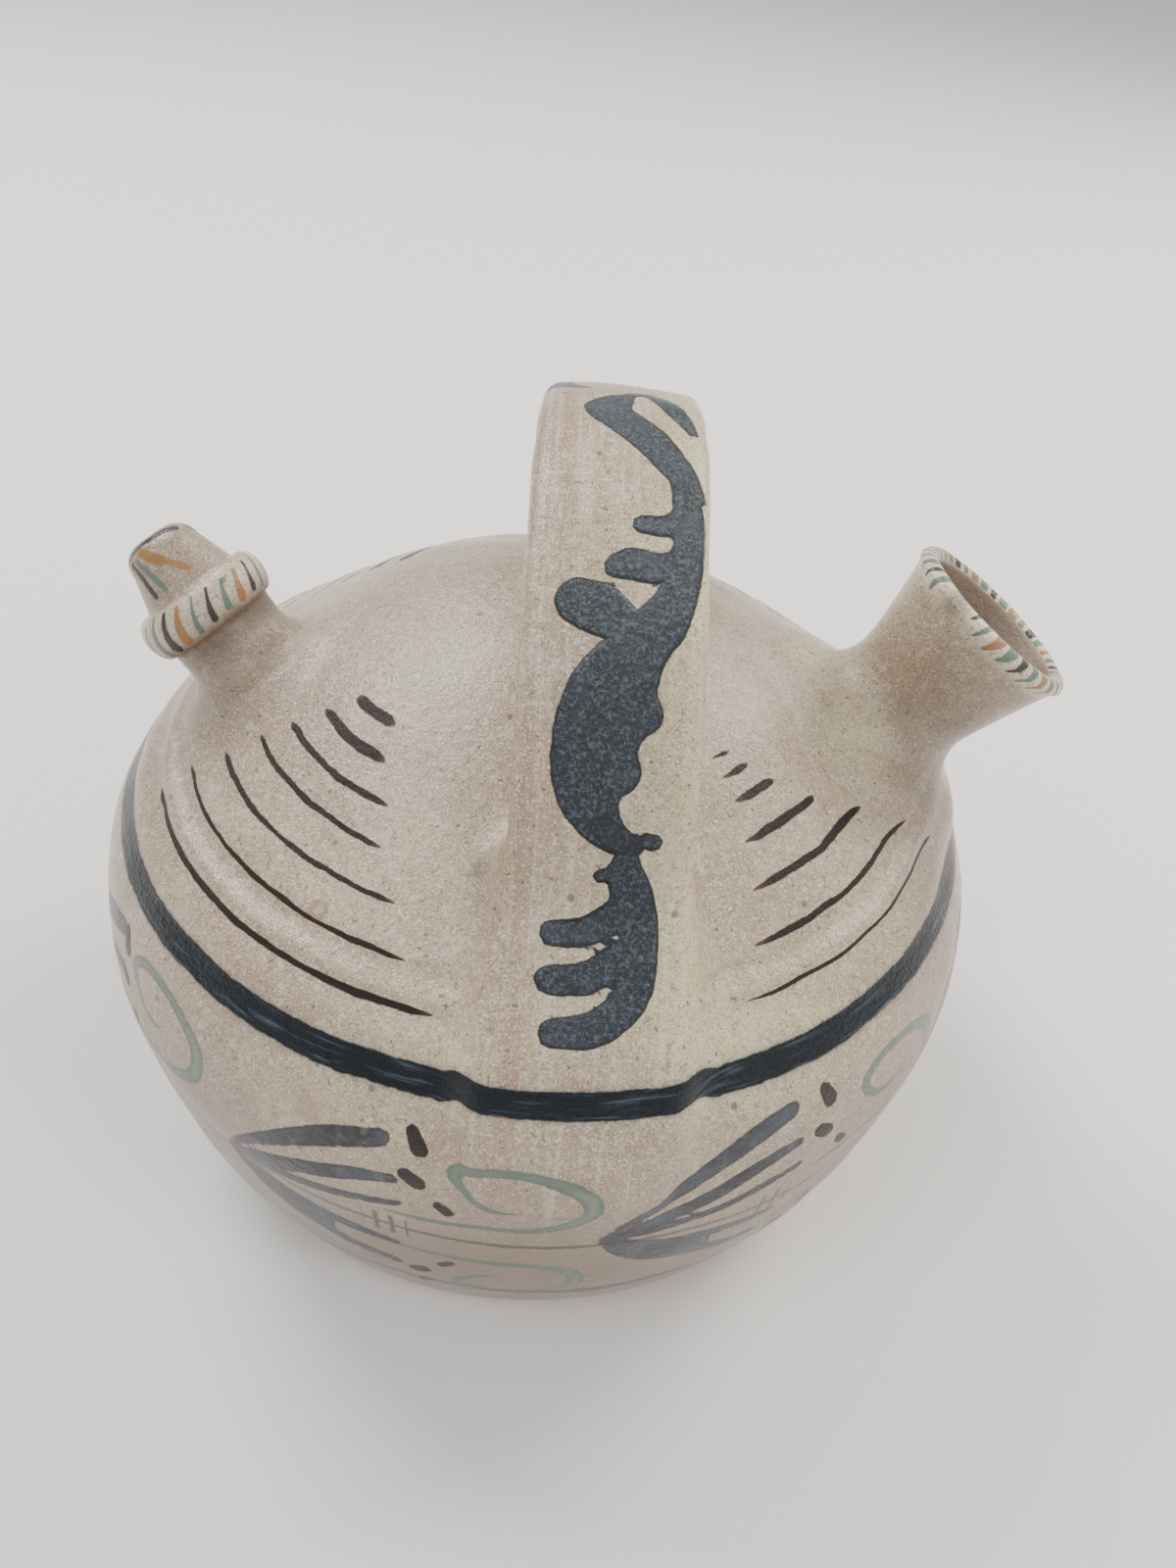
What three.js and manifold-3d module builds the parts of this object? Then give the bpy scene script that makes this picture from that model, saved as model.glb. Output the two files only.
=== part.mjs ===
// A clay water jug: a squat thrown body closed by a low dome, a flared filling mouth on one side,
// a narrow drinking spout on the other, and a broad strap handle arching over the dome between them.
// Millimetres, +Z up. The origin is on the body's axis at the middle of the flat underside.
// The mouth looks towards +X, the spout towards -X, and the handle runs along Y.
import * as THREE from 'three';
import * as BufferGeometryUtils from 'three/addons/utils/BufferGeometryUtils.js';
import Module from 'manifold-3d';

const wasm = await Module();
wasm.setup();

// Body
const bodyRadius = 100;
const bodyEquatorHeight = 72;
const domeRise = 74.1;
const heelRound = 8;
const bodyWall = 4.7;
const bodyFloor = 6;

// The thrown profile, as shares of the greatest radius and of the height below or above the equator
const bellyShares = [
  [0.749, -1],
  [0.831, -0.857],
  [0.923, -0.574],
  [0.976, -0.286],
];
const domeShares = [
  [0.954, 0.27],
  [0.815, 0.486],
  [0.665, 0.64],
  [0.47, 0.812],
  [0.282, 0.93],
  [0.12, 0.99],
];

// Thrown rings on the shoulder: two rolls with a groove above them, by height above the equator
const shoulderRings = [
  { rise: 29, halfWidth: 2.4, relief: 0.7 },
  { rise: 34.6, halfWidth: 1.3, relief: 0.8 },
  { rise: 37.2, halfWidth: 1.2, relief: -0.5 },
];

// Strap handle: its outer face, by height above the equator
const handleTopRise = 111;
const handleArchCentre = 30;
const handleHalfSpan = 76;
const handleTopWidth = 33;
const handleFootWidth = 40;
const handleThickness = 9.5;
const handleEdgeRound = 4;
const handleCrown = 0.5;
const handleSpreadRise = 30;
const handleStraightRise = 66;
const handleTopOffset = 9;
const handleFootOffset = 10.4;

// Where the strap lies on the body: the height of each place above the equator and how proud it stands
const handleRoot = [
  { rise: -14, proud: -2 },
  { rise: 4, proud: 1.8 },
  { rise: 24.5, proud: 4.4 },
  { rise: 39, proud: 6 },
  { rise: 48, proud: 8.2 },
];

// Where the arch above them is drawn through, as angles up from its springing
const handleArchAngles = [31, 50, 70];

// Filling mouth, along its own leaning axis
const mouthRootRise = 43.4;
const mouthRootTurn = 2;
const mouthLean = 35.1;
const mouthLeanTurn = 6.4;
const mouthLength = 36;
const mouthLipRadius = 19;
const mouthLipRoll = 2.4;
const mouthThroatRadius = 15.6;
const mouthThroatDepth = 25;
const mouthOpeningPower = 1.3;
const mouthWall = 3.3;
const mouthFlare = 11;
const mouthBoreFlare = 7.5;
const mouthBoreFlareDepth = 30;

// Drinking spout, along its own leaning axis
const spoutRootRise = 48;
const spoutRootTurn = 181.5;
const spoutLean = 41.2;
const spoutLeanTurn = 162;
const spoutNeckLength = 16;
const spoutNeckRadius = 12;
const spoutBeadRadius = 15;
const spoutBeadHalfHeight = 5;
const spoutNotchRadius = 12;
const spoutTipLength = 18;
const spoutTipRadius = 8.4;
const spoutTipRound = 5.4;
const spoutTipTaper = 1.3;
const spoutHoleRadius = 2.4;
const spoutHoleLength = 6;
const spoutWall = 4.2;
const spoutFlare = 9;

// Both necks: how far their flared feet end under the body's skin, how far their walls and the openings
// for them run into it before the inside is hollowed, and how nearly a foot comes to lie on the body
const flareSink = 3;
const footDepth = 2.5;
const rootDepth = 12;
const plugLength = 30;
const plugTaper = 2;
const flareLimitShare = 0.97;

// The potter's joints, where the necks and the strap sit on the body and where the dome meets the bowl
const jointGap = 0.3;

// Fineness of the round forms
const bodySides = 54;
const cavitySides = 32;
const mouthSides = 28;
const spoutSides = 22;
const handleSteps = 28;
const profileFineness = 400;
const normalReach = 4;

const unitZ = new THREE.Vector3(0, 0, 1);
const quarterTurn = Math.PI / 2;

// `count` steps from one number to another, with both ends.
function steps(from, to, count) {
  return Array.from({ length: count + 1 }, (_, i) => from + ((to - from) * i) / count);
}

// A bump that is 1 at its centre and has died away at about twice its half width.
function bump(value, centre, halfWidth) {
  return Math.exp(-(((value - centre) / halfWidth) ** 2));
}

// 0 before the start, 1 past the end, and a smooth rise between them.
function ease(value, start, end) {
  return THREE.MathUtils.smoothstep(value, start, end);
}

// The body's thrown profile from the edge of the underside to the crown, as radius and rise above the
// equator.
const bodyProfile = new THREE.SplineCurve([
  ...bellyShares.map(([radius, rise]) => new THREE.Vector2(radius * bodyRadius, rise * bodyEquatorHeight)),
  new THREE.Vector2(bodyRadius, 0),
  ...domeShares.map(([radius, rise]) => new THREE.Vector2(radius * bodyRadius, rise * domeRise)),
  new THREE.Vector2(0, domeRise),
]).getPoints(profileFineness);

// Where the profile reaches a height above the equator, as a place along its list of points.
function profilePlace(rise) {
  const next = bodyProfile.findIndex((point) => point.y >= rise);
  const upper = next < 0 ? bodyProfile.length - 1 : Math.max(next, 1);
  const low = bodyProfile[upper - 1];
  const high = bodyProfile[upper];
  return upper - 1 + THREE.MathUtils.clamp((rise - low.y) / (high.y - low.y), 0, 1);
}

// The point of the profile at a place along its list of points.
function profilePoint(place) {
  const low = Math.min(Math.floor(place), bodyProfile.length - 2);
  return bodyProfile[low].clone().lerp(bodyProfile[low + 1], place - low);
}

// Radius of the plain body, without its rings, at a height above the equator.
function bodyRadiusAt(rise) {
  return profilePoint(profilePlace(rise)).x;
}

// Outward direction of the plain body, as radius and height, at a height above the equator.
function bodyNormalAt(rise) {
  const place = profilePlace(rise);
  const ahead = profilePoint(Math.min(place + normalReach, profileFineness));
  const behind = profilePoint(Math.max(place - normalReach, 0));
  return new THREE.Vector2(ahead.y - behind.y, behind.x - ahead.x).normalize();
}

// A point off the plain body by a distance along its normal, as radius and height above the equator.
function offBody(rise, distance) {
  return new THREE.Vector2(bodyRadiusAt(rise), rise).addScaledVector(bodyNormalAt(rise), distance);
}

// Heights spread evenly along the profile between two heights above the equator.
function profileRises(from, to, count) {
  return steps(profilePlace(from), profilePlace(to), count).map((place) => profilePoint(place).y);
}

// A closed geometry becomes a solid: shared vertices are merged, the slivers that closed poles leave are
// dropped, and the faces are turned outwards.
function solidOf(geometry) {
  geometry.deleteAttribute('normal');
  geometry.deleteAttribute('uv');
  const merged = BufferGeometryUtils.mergeVertices(geometry, 0.0001);
  const position = merged.getAttribute('position');
  const corner = [0, 1, 2].map(() => new THREE.Vector3());
  const kept = [];
  let volume = 0;
  for (let i = 0; i < merged.index.count; i += 3) {
    const ids = [0, 1, 2].map((k) => merged.index.getX(i + k));
    if (new Set(ids).size === 3) {
      kept.push(ids);
      ids.forEach((id, k) => corner[k].fromBufferAttribute(position, id));
      volume += corner[0].dot(corner[1].cross(corner[2]));
    }
  }
  const outward = volume > 0 ? kept : kept.map(([a, b, c]) => [a, c, b]);
  return new wasm.Manifold(
    new wasm.Mesh({
      numProp: 3,
      vertProperties: new Float32Array(position.array),
      triVerts: new Uint32Array(outward.flat()),
    }),
  );
}

// A profile of radius and height turned round the Z axis.
function turned(profile, sides) {
  return new THREE.LatheGeometry(profile, sides).rotateX(quarterTurn);
}

// The place and lean of a neck that stands on the dome.
function neckFrame(rootRise, rootTurn, lean, leanTurn) {
  const root = THREE.MathUtils.degToRad(rootTurn);
  const turn = THREE.MathUtils.degToRad(leanTurn);
  const tilt = THREE.MathUtils.degToRad(lean);
  const radius = bodyRadiusAt(rootRise);
  const axis = new THREE.Vector3(
    Math.sin(tilt) * Math.cos(turn),
    Math.sin(tilt) * Math.sin(turn),
    Math.cos(tilt),
  );
  const place = new THREE.Vector3(
    radius * Math.cos(root),
    radius * Math.sin(root),
    bodyEquatorHeight + rootRise,
  );
  return new THREE.Matrix4().compose(
    place,
    new THREE.Quaternion().setFromUnitVectors(unitZ, axis),
    new THREE.Vector3(1, 1, 1),
  );
}

// The body's outer form, or one that stands clear of it: a flat underside, a rounded heel, the belly, the
// ringed shoulder and the dome.
function bodyForm(clearance) {
  const profile = [new THREE.Vector2(0, 0)];
  const foot = bodyNormalAt(-bodyEquatorHeight + heelRound / 2);
  const heelTopRise = -bodyEquatorHeight + heelRound * (1 + foot.y);
  const heelCentre = offBody(heelTopRise, -heelRound);
  for (const angle of steps(-quarterTurn, Math.atan2(foot.y, foot.x), 3)) {
    profile.push(
      new THREE.Vector2(
        heelCentre.x + heelRound * Math.cos(angle),
        bodyEquatorHeight + heelCentre.y + heelRound * Math.sin(angle),
      ),
    );
  }
  profile[1].y = 0;
  const lowestRing = shoulderRings[0].rise - 2 * shoulderRings[0].halfWidth;
  const highestRing = shoulderRings.at(-1).rise + 2 * shoulderRings.at(-1).halfWidth;
  const rises = [
    ...profileRises(heelTopRise, 0, 6).slice(1),
    ...profileRises(0, lowestRing, 3).slice(1),
    ...steps(lowestRing, highestRing, 11).slice(1),
    ...profileRises(highestRing, domeRise, 8).slice(1, -1),
  ];
  for (const rise of rises) {
    const reliefs = shoulderRings.map((ring) => ring.relief * bump(rise, ring.rise, ring.halfWidth));
    const relief = reliefs.reduce((sum, each) => sum + each, 0);
    const point = offBody(rise, relief + clearance);
    profile.push(new THREE.Vector2(point.x, bodyEquatorHeight + point.y));
  }
  profile.push(new THREE.Vector2(0, bodyEquatorHeight + domeRise + clearance));
  return turned(profile, bodySides);
}

// The empty inside of the body, one wall in from the outer form.
function bodyCavity() {
  const profile = [new THREE.Vector2(0, bodyFloor)];
  const lowest = bodyFloor - bodyEquatorHeight;
  for (const rise of profileRises(lowest, domeRise, 15).slice(0, -1)) {
    const point = offBody(rise, -bodyWall);
    profile.push(new THREE.Vector2(Math.max(point.x, 0), bodyEquatorHeight + Math.max(point.y, lowest)));
  }
  profile.push(new THREE.Vector2(0, bodyEquatorHeight + domeRise - bodyWall));
  return turned(profile, cavitySides);
}

// The line that the strap's outer face follows, from its front foot over the top to its back foot.
function handleLine() {
  const half = handleRoot.map(({ rise, proud }) => offBody(rise, proud));
  const archRise = handleTopRise - handleArchCentre;
  for (const degrees of handleArchAngles) {
    const angle = THREE.MathUtils.degToRad(degrees);
    half.push(
      new THREE.Vector2(handleHalfSpan * Math.cos(angle), handleArchCentre + archRise * Math.sin(angle)),
    );
  }
  const front = half.map(({ x, y }) => new THREE.Vector3(0, -x, bodyEquatorHeight + y));
  const back = half.map(({ x, y }) => new THREE.Vector3(0, x, bodyEquatorHeight + y)).reverse();
  const top = new THREE.Vector3(0, 0, bodyEquatorHeight + handleTopRise);
  return new THREE.CatmullRomCurve3([...front, top, ...back]);
}

// The strap's section: a flat band with rounded edges, one unit wide for each millimetre at the top.
function handleSection() {
  const half = handleTopWidth / 2;
  const round = handleEdgeRound;
  const section = new THREE.Shape();
  section.moveTo(-half + round, 0);
  section.lineTo(0, handleCrown);
  section.lineTo(half - round, 0);
  section.absarc(half - round, -round, round, quarterTurn, 0, true);
  section.absarc(half - round, round - handleThickness, round, 0, -quarterTurn, true);
  section.lineTo(round - half, -handleThickness);
  section.absarc(round - half, round - handleThickness, round, -quarterTurn, -Math.PI, true);
  section.absarc(round - half, -round, round, Math.PI, quarterTurn, true);
  return section;
}

// The strap: its section is carried along the line, widening to the feet, where it wraps round the body.
function handleForm() {
  const line = handleLine();
  const geometry = new THREE.ExtrudeGeometry(handleSection(), {
    depth: 1,
    steps: handleSteps,
    curveSegments: 2,
    bevelEnabled: false,
  });
  const position = geometry.getAttribute('position');
  for (let i = 0; i < position.count; i += 1) {
    const along = THREE.MathUtils.clamp(position.getZ(i), 0, 1);
    const point = line.getPointAt(along);
    const tangent = line.getTangentAt(along);
    const rise = point.z - bodyEquatorHeight;
    const footShare = 1 - ease(rise, handleSpreadRise, handleStraightRise);
    const width = THREE.MathUtils.lerp(handleTopWidth, handleFootWidth, footShare);
    const topShare = ease(rise, handleStraightRise, handleTopRise);
    const offset = THREE.MathUtils.lerp(handleFootOffset, handleTopOffset, topShare);
    const across = (position.getX(i) * width) / handleTopWidth;
    const out = position.getY(i);
    const x = offset + across;
    const reach = point.y - tangent.z * out;
    const wrap = x ** 2 * Math.min(footShare, 1);
    const y = Math.sign(reach) * Math.sqrt(Math.max(reach ** 2 - wrap, 0));
    position.setXYZ(i, x, y, point.z + tangent.y * out);
  }
  return geometry;
}

// How far a neck's foot has spread at a height above the body. The arc ends just under the body's skin.
function footFlare(height, flare) {
  const share = THREE.MathUtils.clamp((flare - flareSink - height) / flare, 0, flareLimitShare);
  return flare * (1 - Math.sqrt(1 - share ** 2));
}

// The mouth's outer radius at a depth below the lip, without its foot: a throat that widens to the lip.
function mouthRadiusAt(depth) {
  const opening = mouthLipRadius + mouthLipRoll - mouthThroatRadius;
  return mouthThroatRadius + opening * Math.max(1 - depth / mouthThroatDepth, 0) ** mouthOpeningPower;
}

// The mouth's wall: up the outside, over the rolled lip and down the bore, closed below the body's skin.
function mouthForm() {
  const below = mouthLength + rootDepth;
  const profile = [];
  for (const depth of [below, ...steps(mouthLength + footDepth, 1.7 * mouthLipRoll, 11)]) {
    const foot = footFlare(mouthLength - depth, mouthFlare);
    profile.push(new THREE.Vector2(mouthRadiusAt(depth) + foot, mouthLength - depth));
  }
  for (const angle of steps(0, Math.PI, 5)) {
    profile.push(
      new THREE.Vector2(
        mouthLipRadius + mouthLipRoll * Math.cos(angle),
        mouthLength - mouthLipRoll + mouthLipRoll * Math.sin(angle),
      ),
    );
  }
  for (const depth of [...steps(2.4 * mouthLipRoll, mouthBoreFlareDepth, 5), mouthLength, below]) {
    const spread = mouthBoreFlare * ease(depth, mouthBoreFlareDepth, mouthLength + bodyWall);
    profile.push(new THREE.Vector2(mouthRadiusAt(depth) - mouthWall + spread, mouthLength - depth));
  }
  profile.push(profile[0].clone());
  return turned(profile, mouthSides);
}

// The spout's outer radius at a height above the body: a flared root, a bead and a tapering tip.
function spoutRadiusAt(height) {
  const aboveBead = height - spoutNeckLength;
  const tipShare = THREE.MathUtils.clamp(aboveBead / (spoutTipLength - spoutTipRound), 0, 1);
  const tip = THREE.MathUtils.lerp(spoutNotchRadius, spoutTipRadius, tipShare ** spoutTipTaper);
  const plain = aboveBead < 0 ? spoutNeckRadius + footFlare(height, spoutFlare) : tip;
  const share = Math.abs(aboveBead) / spoutBeadHalfHeight;
  const proud = (spoutBeadRadius - spoutNotchRadius) * Math.sqrt(Math.max(1 - share ** 2, 0));
  return share < 1 ? Math.max(plain, spoutNotchRadius + proud) : plain;
}

// The spout's wall: up the outside, over the rounded tip, and down the hole and the wider bore.
function spoutForm() {
  const below = -rootDepth;
  const end = spoutNeckLength + spoutTipLength;
  const boreRadius = spoutNeckRadius - spoutWall;
  const rootHeights = steps(-footDepth, spoutNeckLength - spoutBeadHalfHeight, 6);
  const beadAngles = steps(-quarterTurn, quarterTurn, 8).slice(1, -1);
  const beadHeights = beadAngles.map((angle) => spoutNeckLength + spoutBeadHalfHeight * Math.sin(angle));
  const tipHeights = steps(spoutNeckLength + spoutBeadHalfHeight, end - spoutTipRound, 4);
  const profile = [];
  for (const height of [below, ...rootHeights, ...beadHeights, ...tipHeights]) {
    profile.push(new THREE.Vector2(spoutRadiusAt(height), height));
  }
  const shoulder = spoutRadiusAt(end - spoutTipRound);
  for (const angle of steps(0, quarterTurn, 4).slice(1)) {
    profile.push(
      new THREE.Vector2(
        shoulder - spoutTipRound * (1 - Math.cos(angle)),
        end - spoutTipRound * (1 - Math.sin(angle)),
      ),
    );
  }
  profile.push(new THREE.Vector2(spoutHoleRadius, end));
  profile.push(new THREE.Vector2(spoutHoleRadius, end - spoutHoleLength));
  profile.push(new THREE.Vector2(boreRadius, spoutNeckLength));
  profile.push(new THREE.Vector2(boreRadius, below));
  profile.push(profile[0].clone());
  return turned(profile, spoutSides);
}

// A plug that opens the body's skin under a neck. It is narrower than the neck's foot and widens inwards.
function plugForm(radius) {
  const plug = new THREE.CylinderGeometry(radius - plugTaper, radius + plugTaper, plugLength, mouthSides);
  return plug.rotateX(quarterTurn);
}

// A flat slab between two heights, wider than the body.
function slabForm(low, high) {
  const side = 4 * bodyRadius;
  return new THREE.BoxGeometry(side, side, high - low).translate(0, 0, (low + high) / 2);
}

// The fired clay, parted where the potter joins it: the bowl, the dome, the strap and the two necks.
function jugParts() {
  const mouthPlace = neckFrame(mouthRootRise, mouthRootTurn, mouthLean, mouthLeanTurn);
  const spoutPlace = neckFrame(spoutRootRise, spoutRootTurn, spoutLean, spoutLeanTurn);
  const mouthPlug = plugForm(mouthThroatRadius - mouthWall + 0.75 * mouthBoreFlare).applyMatrix4(mouthPlace);
  const spoutPlug = plugForm(spoutNeckRadius - spoutWall / 2).applyMatrix4(spoutPlace);
  const skin = solidOf(bodyForm(0));
  const clearSkin = solidOf(bodyForm(jointGap));
  const mouth = solidOf(mouthForm().applyMatrix4(mouthPlace));
  const spout = solidOf(spoutForm().applyMatrix4(spoutPlace));
  const shell = skin
    .subtract(solidOf(mouthPlug))
    .subtract(solidOf(spoutPlug))
    .add(mouth)
    .add(spout)
    .intersect(skin)
    .subtract(solidOf(bodyCavity()));
  const jointLow = bodyEquatorHeight - jointGap / 2;
  const jointHigh = bodyEquatorHeight + jointGap / 2;
  return {
    bowl: shell.intersect(solidOf(slabForm(-bodyEquatorHeight, jointLow))),
    dome: shell.intersect(solidOf(slabForm(jointHigh, bodyEquatorHeight + 2 * domeRise))),
    strap_handle: solidOf(handleForm()).subtract(clearSkin),
    filling_mouth: mouth.subtract(clearSkin),
    drinking_spout: spout.subtract(clearSkin),
  };
}

// A solid becomes a geometry with shared vertices.
function geometryOf(solid) {
  const mesh = solid.getMesh();
  const geometry = new THREE.BufferGeometry();
  geometry.setAttribute('position', new THREE.BufferAttribute(new Float32Array(mesh.vertProperties), 3));
  geometry.setIndex(new THREE.BufferAttribute(new Uint32Array(mesh.triVerts), 1));
  geometry.computeVertexNormals();
  return geometry;
}

const glazedClay = new THREE.MeshStandardMaterial({ color: 0xb7a594, roughness: 0.5, metalness: 0 });

const waterJug = new THREE.Group();
for (const [name, solid] of Object.entries(jugParts())) {
  const part = new THREE.Mesh(geometryOf(solid), glazedClay);
  part.name = name;
  waterJug.add(part);
}

export default waterJug;
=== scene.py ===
"""A glazed clay water jug: the looks of the thrown body, its two necks, its strap handle and its brushwork.

The jug is one fired piece. Its shape is built in millimetres from closed surfaces on grids, which are joined
and hollowed. The seams between them are then drawn out into the smoothed clay that a potter leaves. The leaf
sprays, the spirals and the strap's strokes are kept at the mesh's points as signed distances. The bands, the
arcs and the short strokes are reckoned in the glaze material.
"""

import logging
import math
from collections.abc import Callable
from dataclasses import dataclass, field
from enum import Enum

import bmesh
import bpy
import numpy as np
from mathutils import Matrix, Vector


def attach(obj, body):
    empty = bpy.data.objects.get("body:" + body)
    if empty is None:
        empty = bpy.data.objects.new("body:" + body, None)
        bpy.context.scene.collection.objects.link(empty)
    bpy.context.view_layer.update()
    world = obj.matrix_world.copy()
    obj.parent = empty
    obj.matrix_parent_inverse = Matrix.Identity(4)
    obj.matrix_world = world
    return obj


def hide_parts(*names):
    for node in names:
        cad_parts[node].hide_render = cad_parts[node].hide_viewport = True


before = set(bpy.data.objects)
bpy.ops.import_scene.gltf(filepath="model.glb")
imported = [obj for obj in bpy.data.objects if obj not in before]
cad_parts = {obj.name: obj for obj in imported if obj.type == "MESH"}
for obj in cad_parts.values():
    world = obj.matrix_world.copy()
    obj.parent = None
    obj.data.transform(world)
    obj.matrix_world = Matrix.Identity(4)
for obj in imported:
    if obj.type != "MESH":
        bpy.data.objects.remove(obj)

logging.basicConfig(level=logging.INFO, format="%(message)s")
log = logging.getLogger("jug")

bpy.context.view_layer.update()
CLAY_NODES = ("bowl", "dome", "strap_handle", "filling_mouth", "drinking_spout")
MM = 0.001
FAR = 60.0
Array = np.ndarray


class Paint(Enum):
    """The colours that the potter brushed on, each with the name of the attribute that holds its strokes."""

    WASH = "wash"
    ENAMEL = "enamel"
    GREEN = "green"
    BLACK = "black"


def ease(value: Array, start: float, end: float) -> Array:
    """A smooth rise from 0 at start to 1 at end: 3t^2 - 2t^3.

    Args:
        value: The numbers to ease.
        start: Where the rise begins.
        end: Where it is complete.

    Returns:
        The eased shares.
    """
    share = np.clip((value - start) / (end - start), 0.0, 1.0)
    return share * share * (3.0 - 2.0 * share)


def blend_min(first: Array, second: Array, reach: float) -> Array:
    """The lesser of two distances, rounded where they nearly agree.

    With h = max(k - |a - b|, 0) / k it is min(a, b) - h^2 k / 4.

    Args:
        first: Distances to one form.
        second: Distances to the other form.
        reach: How far the rounding reaches, k.

    Returns:
        Distances to the two forms joined by a fillet.
    """
    share = np.maximum(reach - np.abs(first - second), 0.0) / reach
    return np.minimum(first, second) - share * share * reach / 4.0


def curve_through(points: Array, per_span: int, power: float = 0.5) -> Array:
    """A Catmull-Rom curve through points, with knots spaced by distance to a power.

    Each span is the usual pyramid of linear blends between its four nearest points. The ends are mirrored.

    Args:
        points: The points, one row each.
        per_span: Samples in each span.
        power: 0 for even knots, 0.5 for centripetal ones.

    Returns:
        The samples, one row each, with the last point.
    """
    given = np.asarray(points, float)
    padded = np.vstack([2 * given[0] - given[1], given, 2 * given[-1] - given[-2]])
    samples = []
    for i in range(len(given) - 1):
        near = padded[i : i + 4]
        gaps = np.maximum(np.linalg.norm(np.diff(near[:, :2], axis=0), axis=1), 1e-6) ** power
        knot = np.concatenate([[0.0], np.cumsum(gaps)])
        place = np.linspace(knot[1], knot[2], per_span, endpoint=False)[:, None]

        def between(a: Array, b: Array, low: float, high: float) -> Array:
            """The straight blend from a at knot low to b at knot high."""
            return (high - place) / (high - low) * a + (place - low) / (high - low) * b

        first = [between(near[j], near[j + 1], knot[j], knot[j + 1]) for j in range(3)]
        second = [between(first[j], first[j + 1], knot[j], knot[j + 2]) for j in range(2)]
        samples.append(between(second[0], second[1], knot[1], knot[2]))
    samples.append(given[-1:])
    return np.vstack(samples)


def outline_distance(radius: Array, height: Array, outline: Array) -> Array:
    """Signed distance from points of a half plane to an outline that starts and ends on the axis.

    It is the least distance to any of the outline's straight pieces, negative where a ray outwards along the
    radius crosses the outline an odd number of times.

    Args:
        radius: The points' distances from the axis.
        height: The points' heights.
        outline: Radius and height of each outline point.

    Returns:
        The signed distances.
    """
    best = np.full(radius.shape, 1e9)
    inside = np.zeros(radius.shape, bool)
    for (ra, ha), (rb, hb) in zip(outline[:-1], outline[1:]):
        dr, dh = rb - ra, hb - ha
        length = max(dr * dr + dh * dh, 1e-12)
        share = np.clip(((radius - ra) * dr + (height - ha) * dh) / length, 0.0, 1.0)
        best = np.minimum(best, np.hypot(radius - ra - share * dr, height - ha - share * dh))
        if hb != ha:
            crosses = (height < ha) != (height < hb)
            inside ^= crosses & (radius < ra + (height - ha) * dr / dh)
    return np.where(inside, -best, best)


def stroke_distance(across: Array, up: Array, stroke: Array) -> Array:
    """Signed distance to one brush stroke, a chain of straight pieces with an evenly changing half width.

    Args:
        across: One coordinate of the points on the unrolled surface.
        up: The other coordinate.
        stroke: Rows of across, up and half width.

    Returns:
        Distances, negative under the paint.
    """
    best = np.full(across.shape, 1e3)
    for (xa, ya, wa), (xb, yb, wb) in zip(stroke[:-1], stroke[1:]):
        dx, dy = xb - xa, yb - ya
        length = max(dx * dx + dy * dy, 1e-9)
        share = np.clip(((across - xa) * dx + (up - ya) * dy) / length, 0.0, 1.0)
        gap = np.hypot(across - xa - share * dx, up - ya - share * dy)
        best = np.minimum(best, gap - wa - share * (wb - wa))
    return best


@dataclass
class ClaySurface:
    """Points and faces of one closed surface, in millimetres."""

    points: Array
    faces: list[tuple[int, ...]]

    def mesh(self, name: str) -> bpy.types.Mesh:
        """Puts the surface into a mesh of this name in metres, with its faces outwards."""
        mesh = bpy.data.meshes.new(name)
        mesh.from_pydata((self.points * MM).tolist(), [], self.faces)
        mesh.update()
        shape = bmesh.new()
        shape.from_mesh(mesh)
        if shape.calc_volume(signed=True) < 0:
            bmesh.ops.reverse_faces(shape, faces=shape.faces[:])
        shape.to_mesh(mesh)
        shape.free()
        return mesh


def face_rows(*corners: Array) -> list[tuple[int, ...]]:
    """The faces whose corners are given one array after another."""
    return list(map(tuple, np.stack(corners, -1).tolist()))


def grid_faces(rows: int, columns: int, closed_rows: bool) -> list[tuple[int, ...]]:
    """Faces of a grid that closes on itself along its columns: each joins four neighbours.

    Args:
        rows: Number of rows.
        columns: Number of points in each row.
        closed_rows: Whether the last row joins the first.

    Returns:
        The faces as tuples of point numbers.
    """
    row = np.arange(rows if closed_rows else rows - 1)[:, None]
    column = np.arange(columns)[None, :]
    after_row = (row + 1) % rows
    after_column = (column + 1) % columns
    corners = [
        row * columns + column,
        row * columns + after_column,
        after_row * columns + after_column,
        after_row * columns + column,
    ]
    return face_rows(*(corner.reshape(-1) for corner in np.broadcast_arrays(*corners)))


def capped(points: Array, first_centre: Array, last_centre: Array) -> ClaySurface:
    """Closes a grid of rows with a fan of faces round a centre at each end.

    Args:
        points: Rows by columns by three.
        first_centre: The point that closes the first row.
        last_centre: The point that closes the last row.

    Returns:
        The closed surface.
    """
    rows, columns = points.shape[:2]
    count = rows * columns
    here = np.arange(columns)
    after = (here + 1) % columns
    last = count - columns
    faces = grid_faces(rows, columns, False)
    faces += face_rows(after, here, np.full(columns, count))
    faces += face_rows(last + here, last + after, np.full(columns, count + 1))
    return ClaySurface(np.vstack([points.reshape(-1, 3), first_centre, last_centre]), faces)


def turned(profile: Array, sides: int) -> Array:
    """Turns a profile round the Z axis: x = r cos a, y = r sin a, z = h.

    Args:
        profile: Radius and height of each row.
        sides: Points in each row.

    Returns:
        Rows by sides by three.
    """
    angle = np.linspace(0.0, 2 * math.pi, sides, endpoint=False)
    radius, height = profile.T
    ways = ((radius, np.cos(angle)), (radius, np.sin(angle)), (height, np.ones(sides)))
    return np.stack([np.outer(*way) for way in ways], -1)


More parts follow.
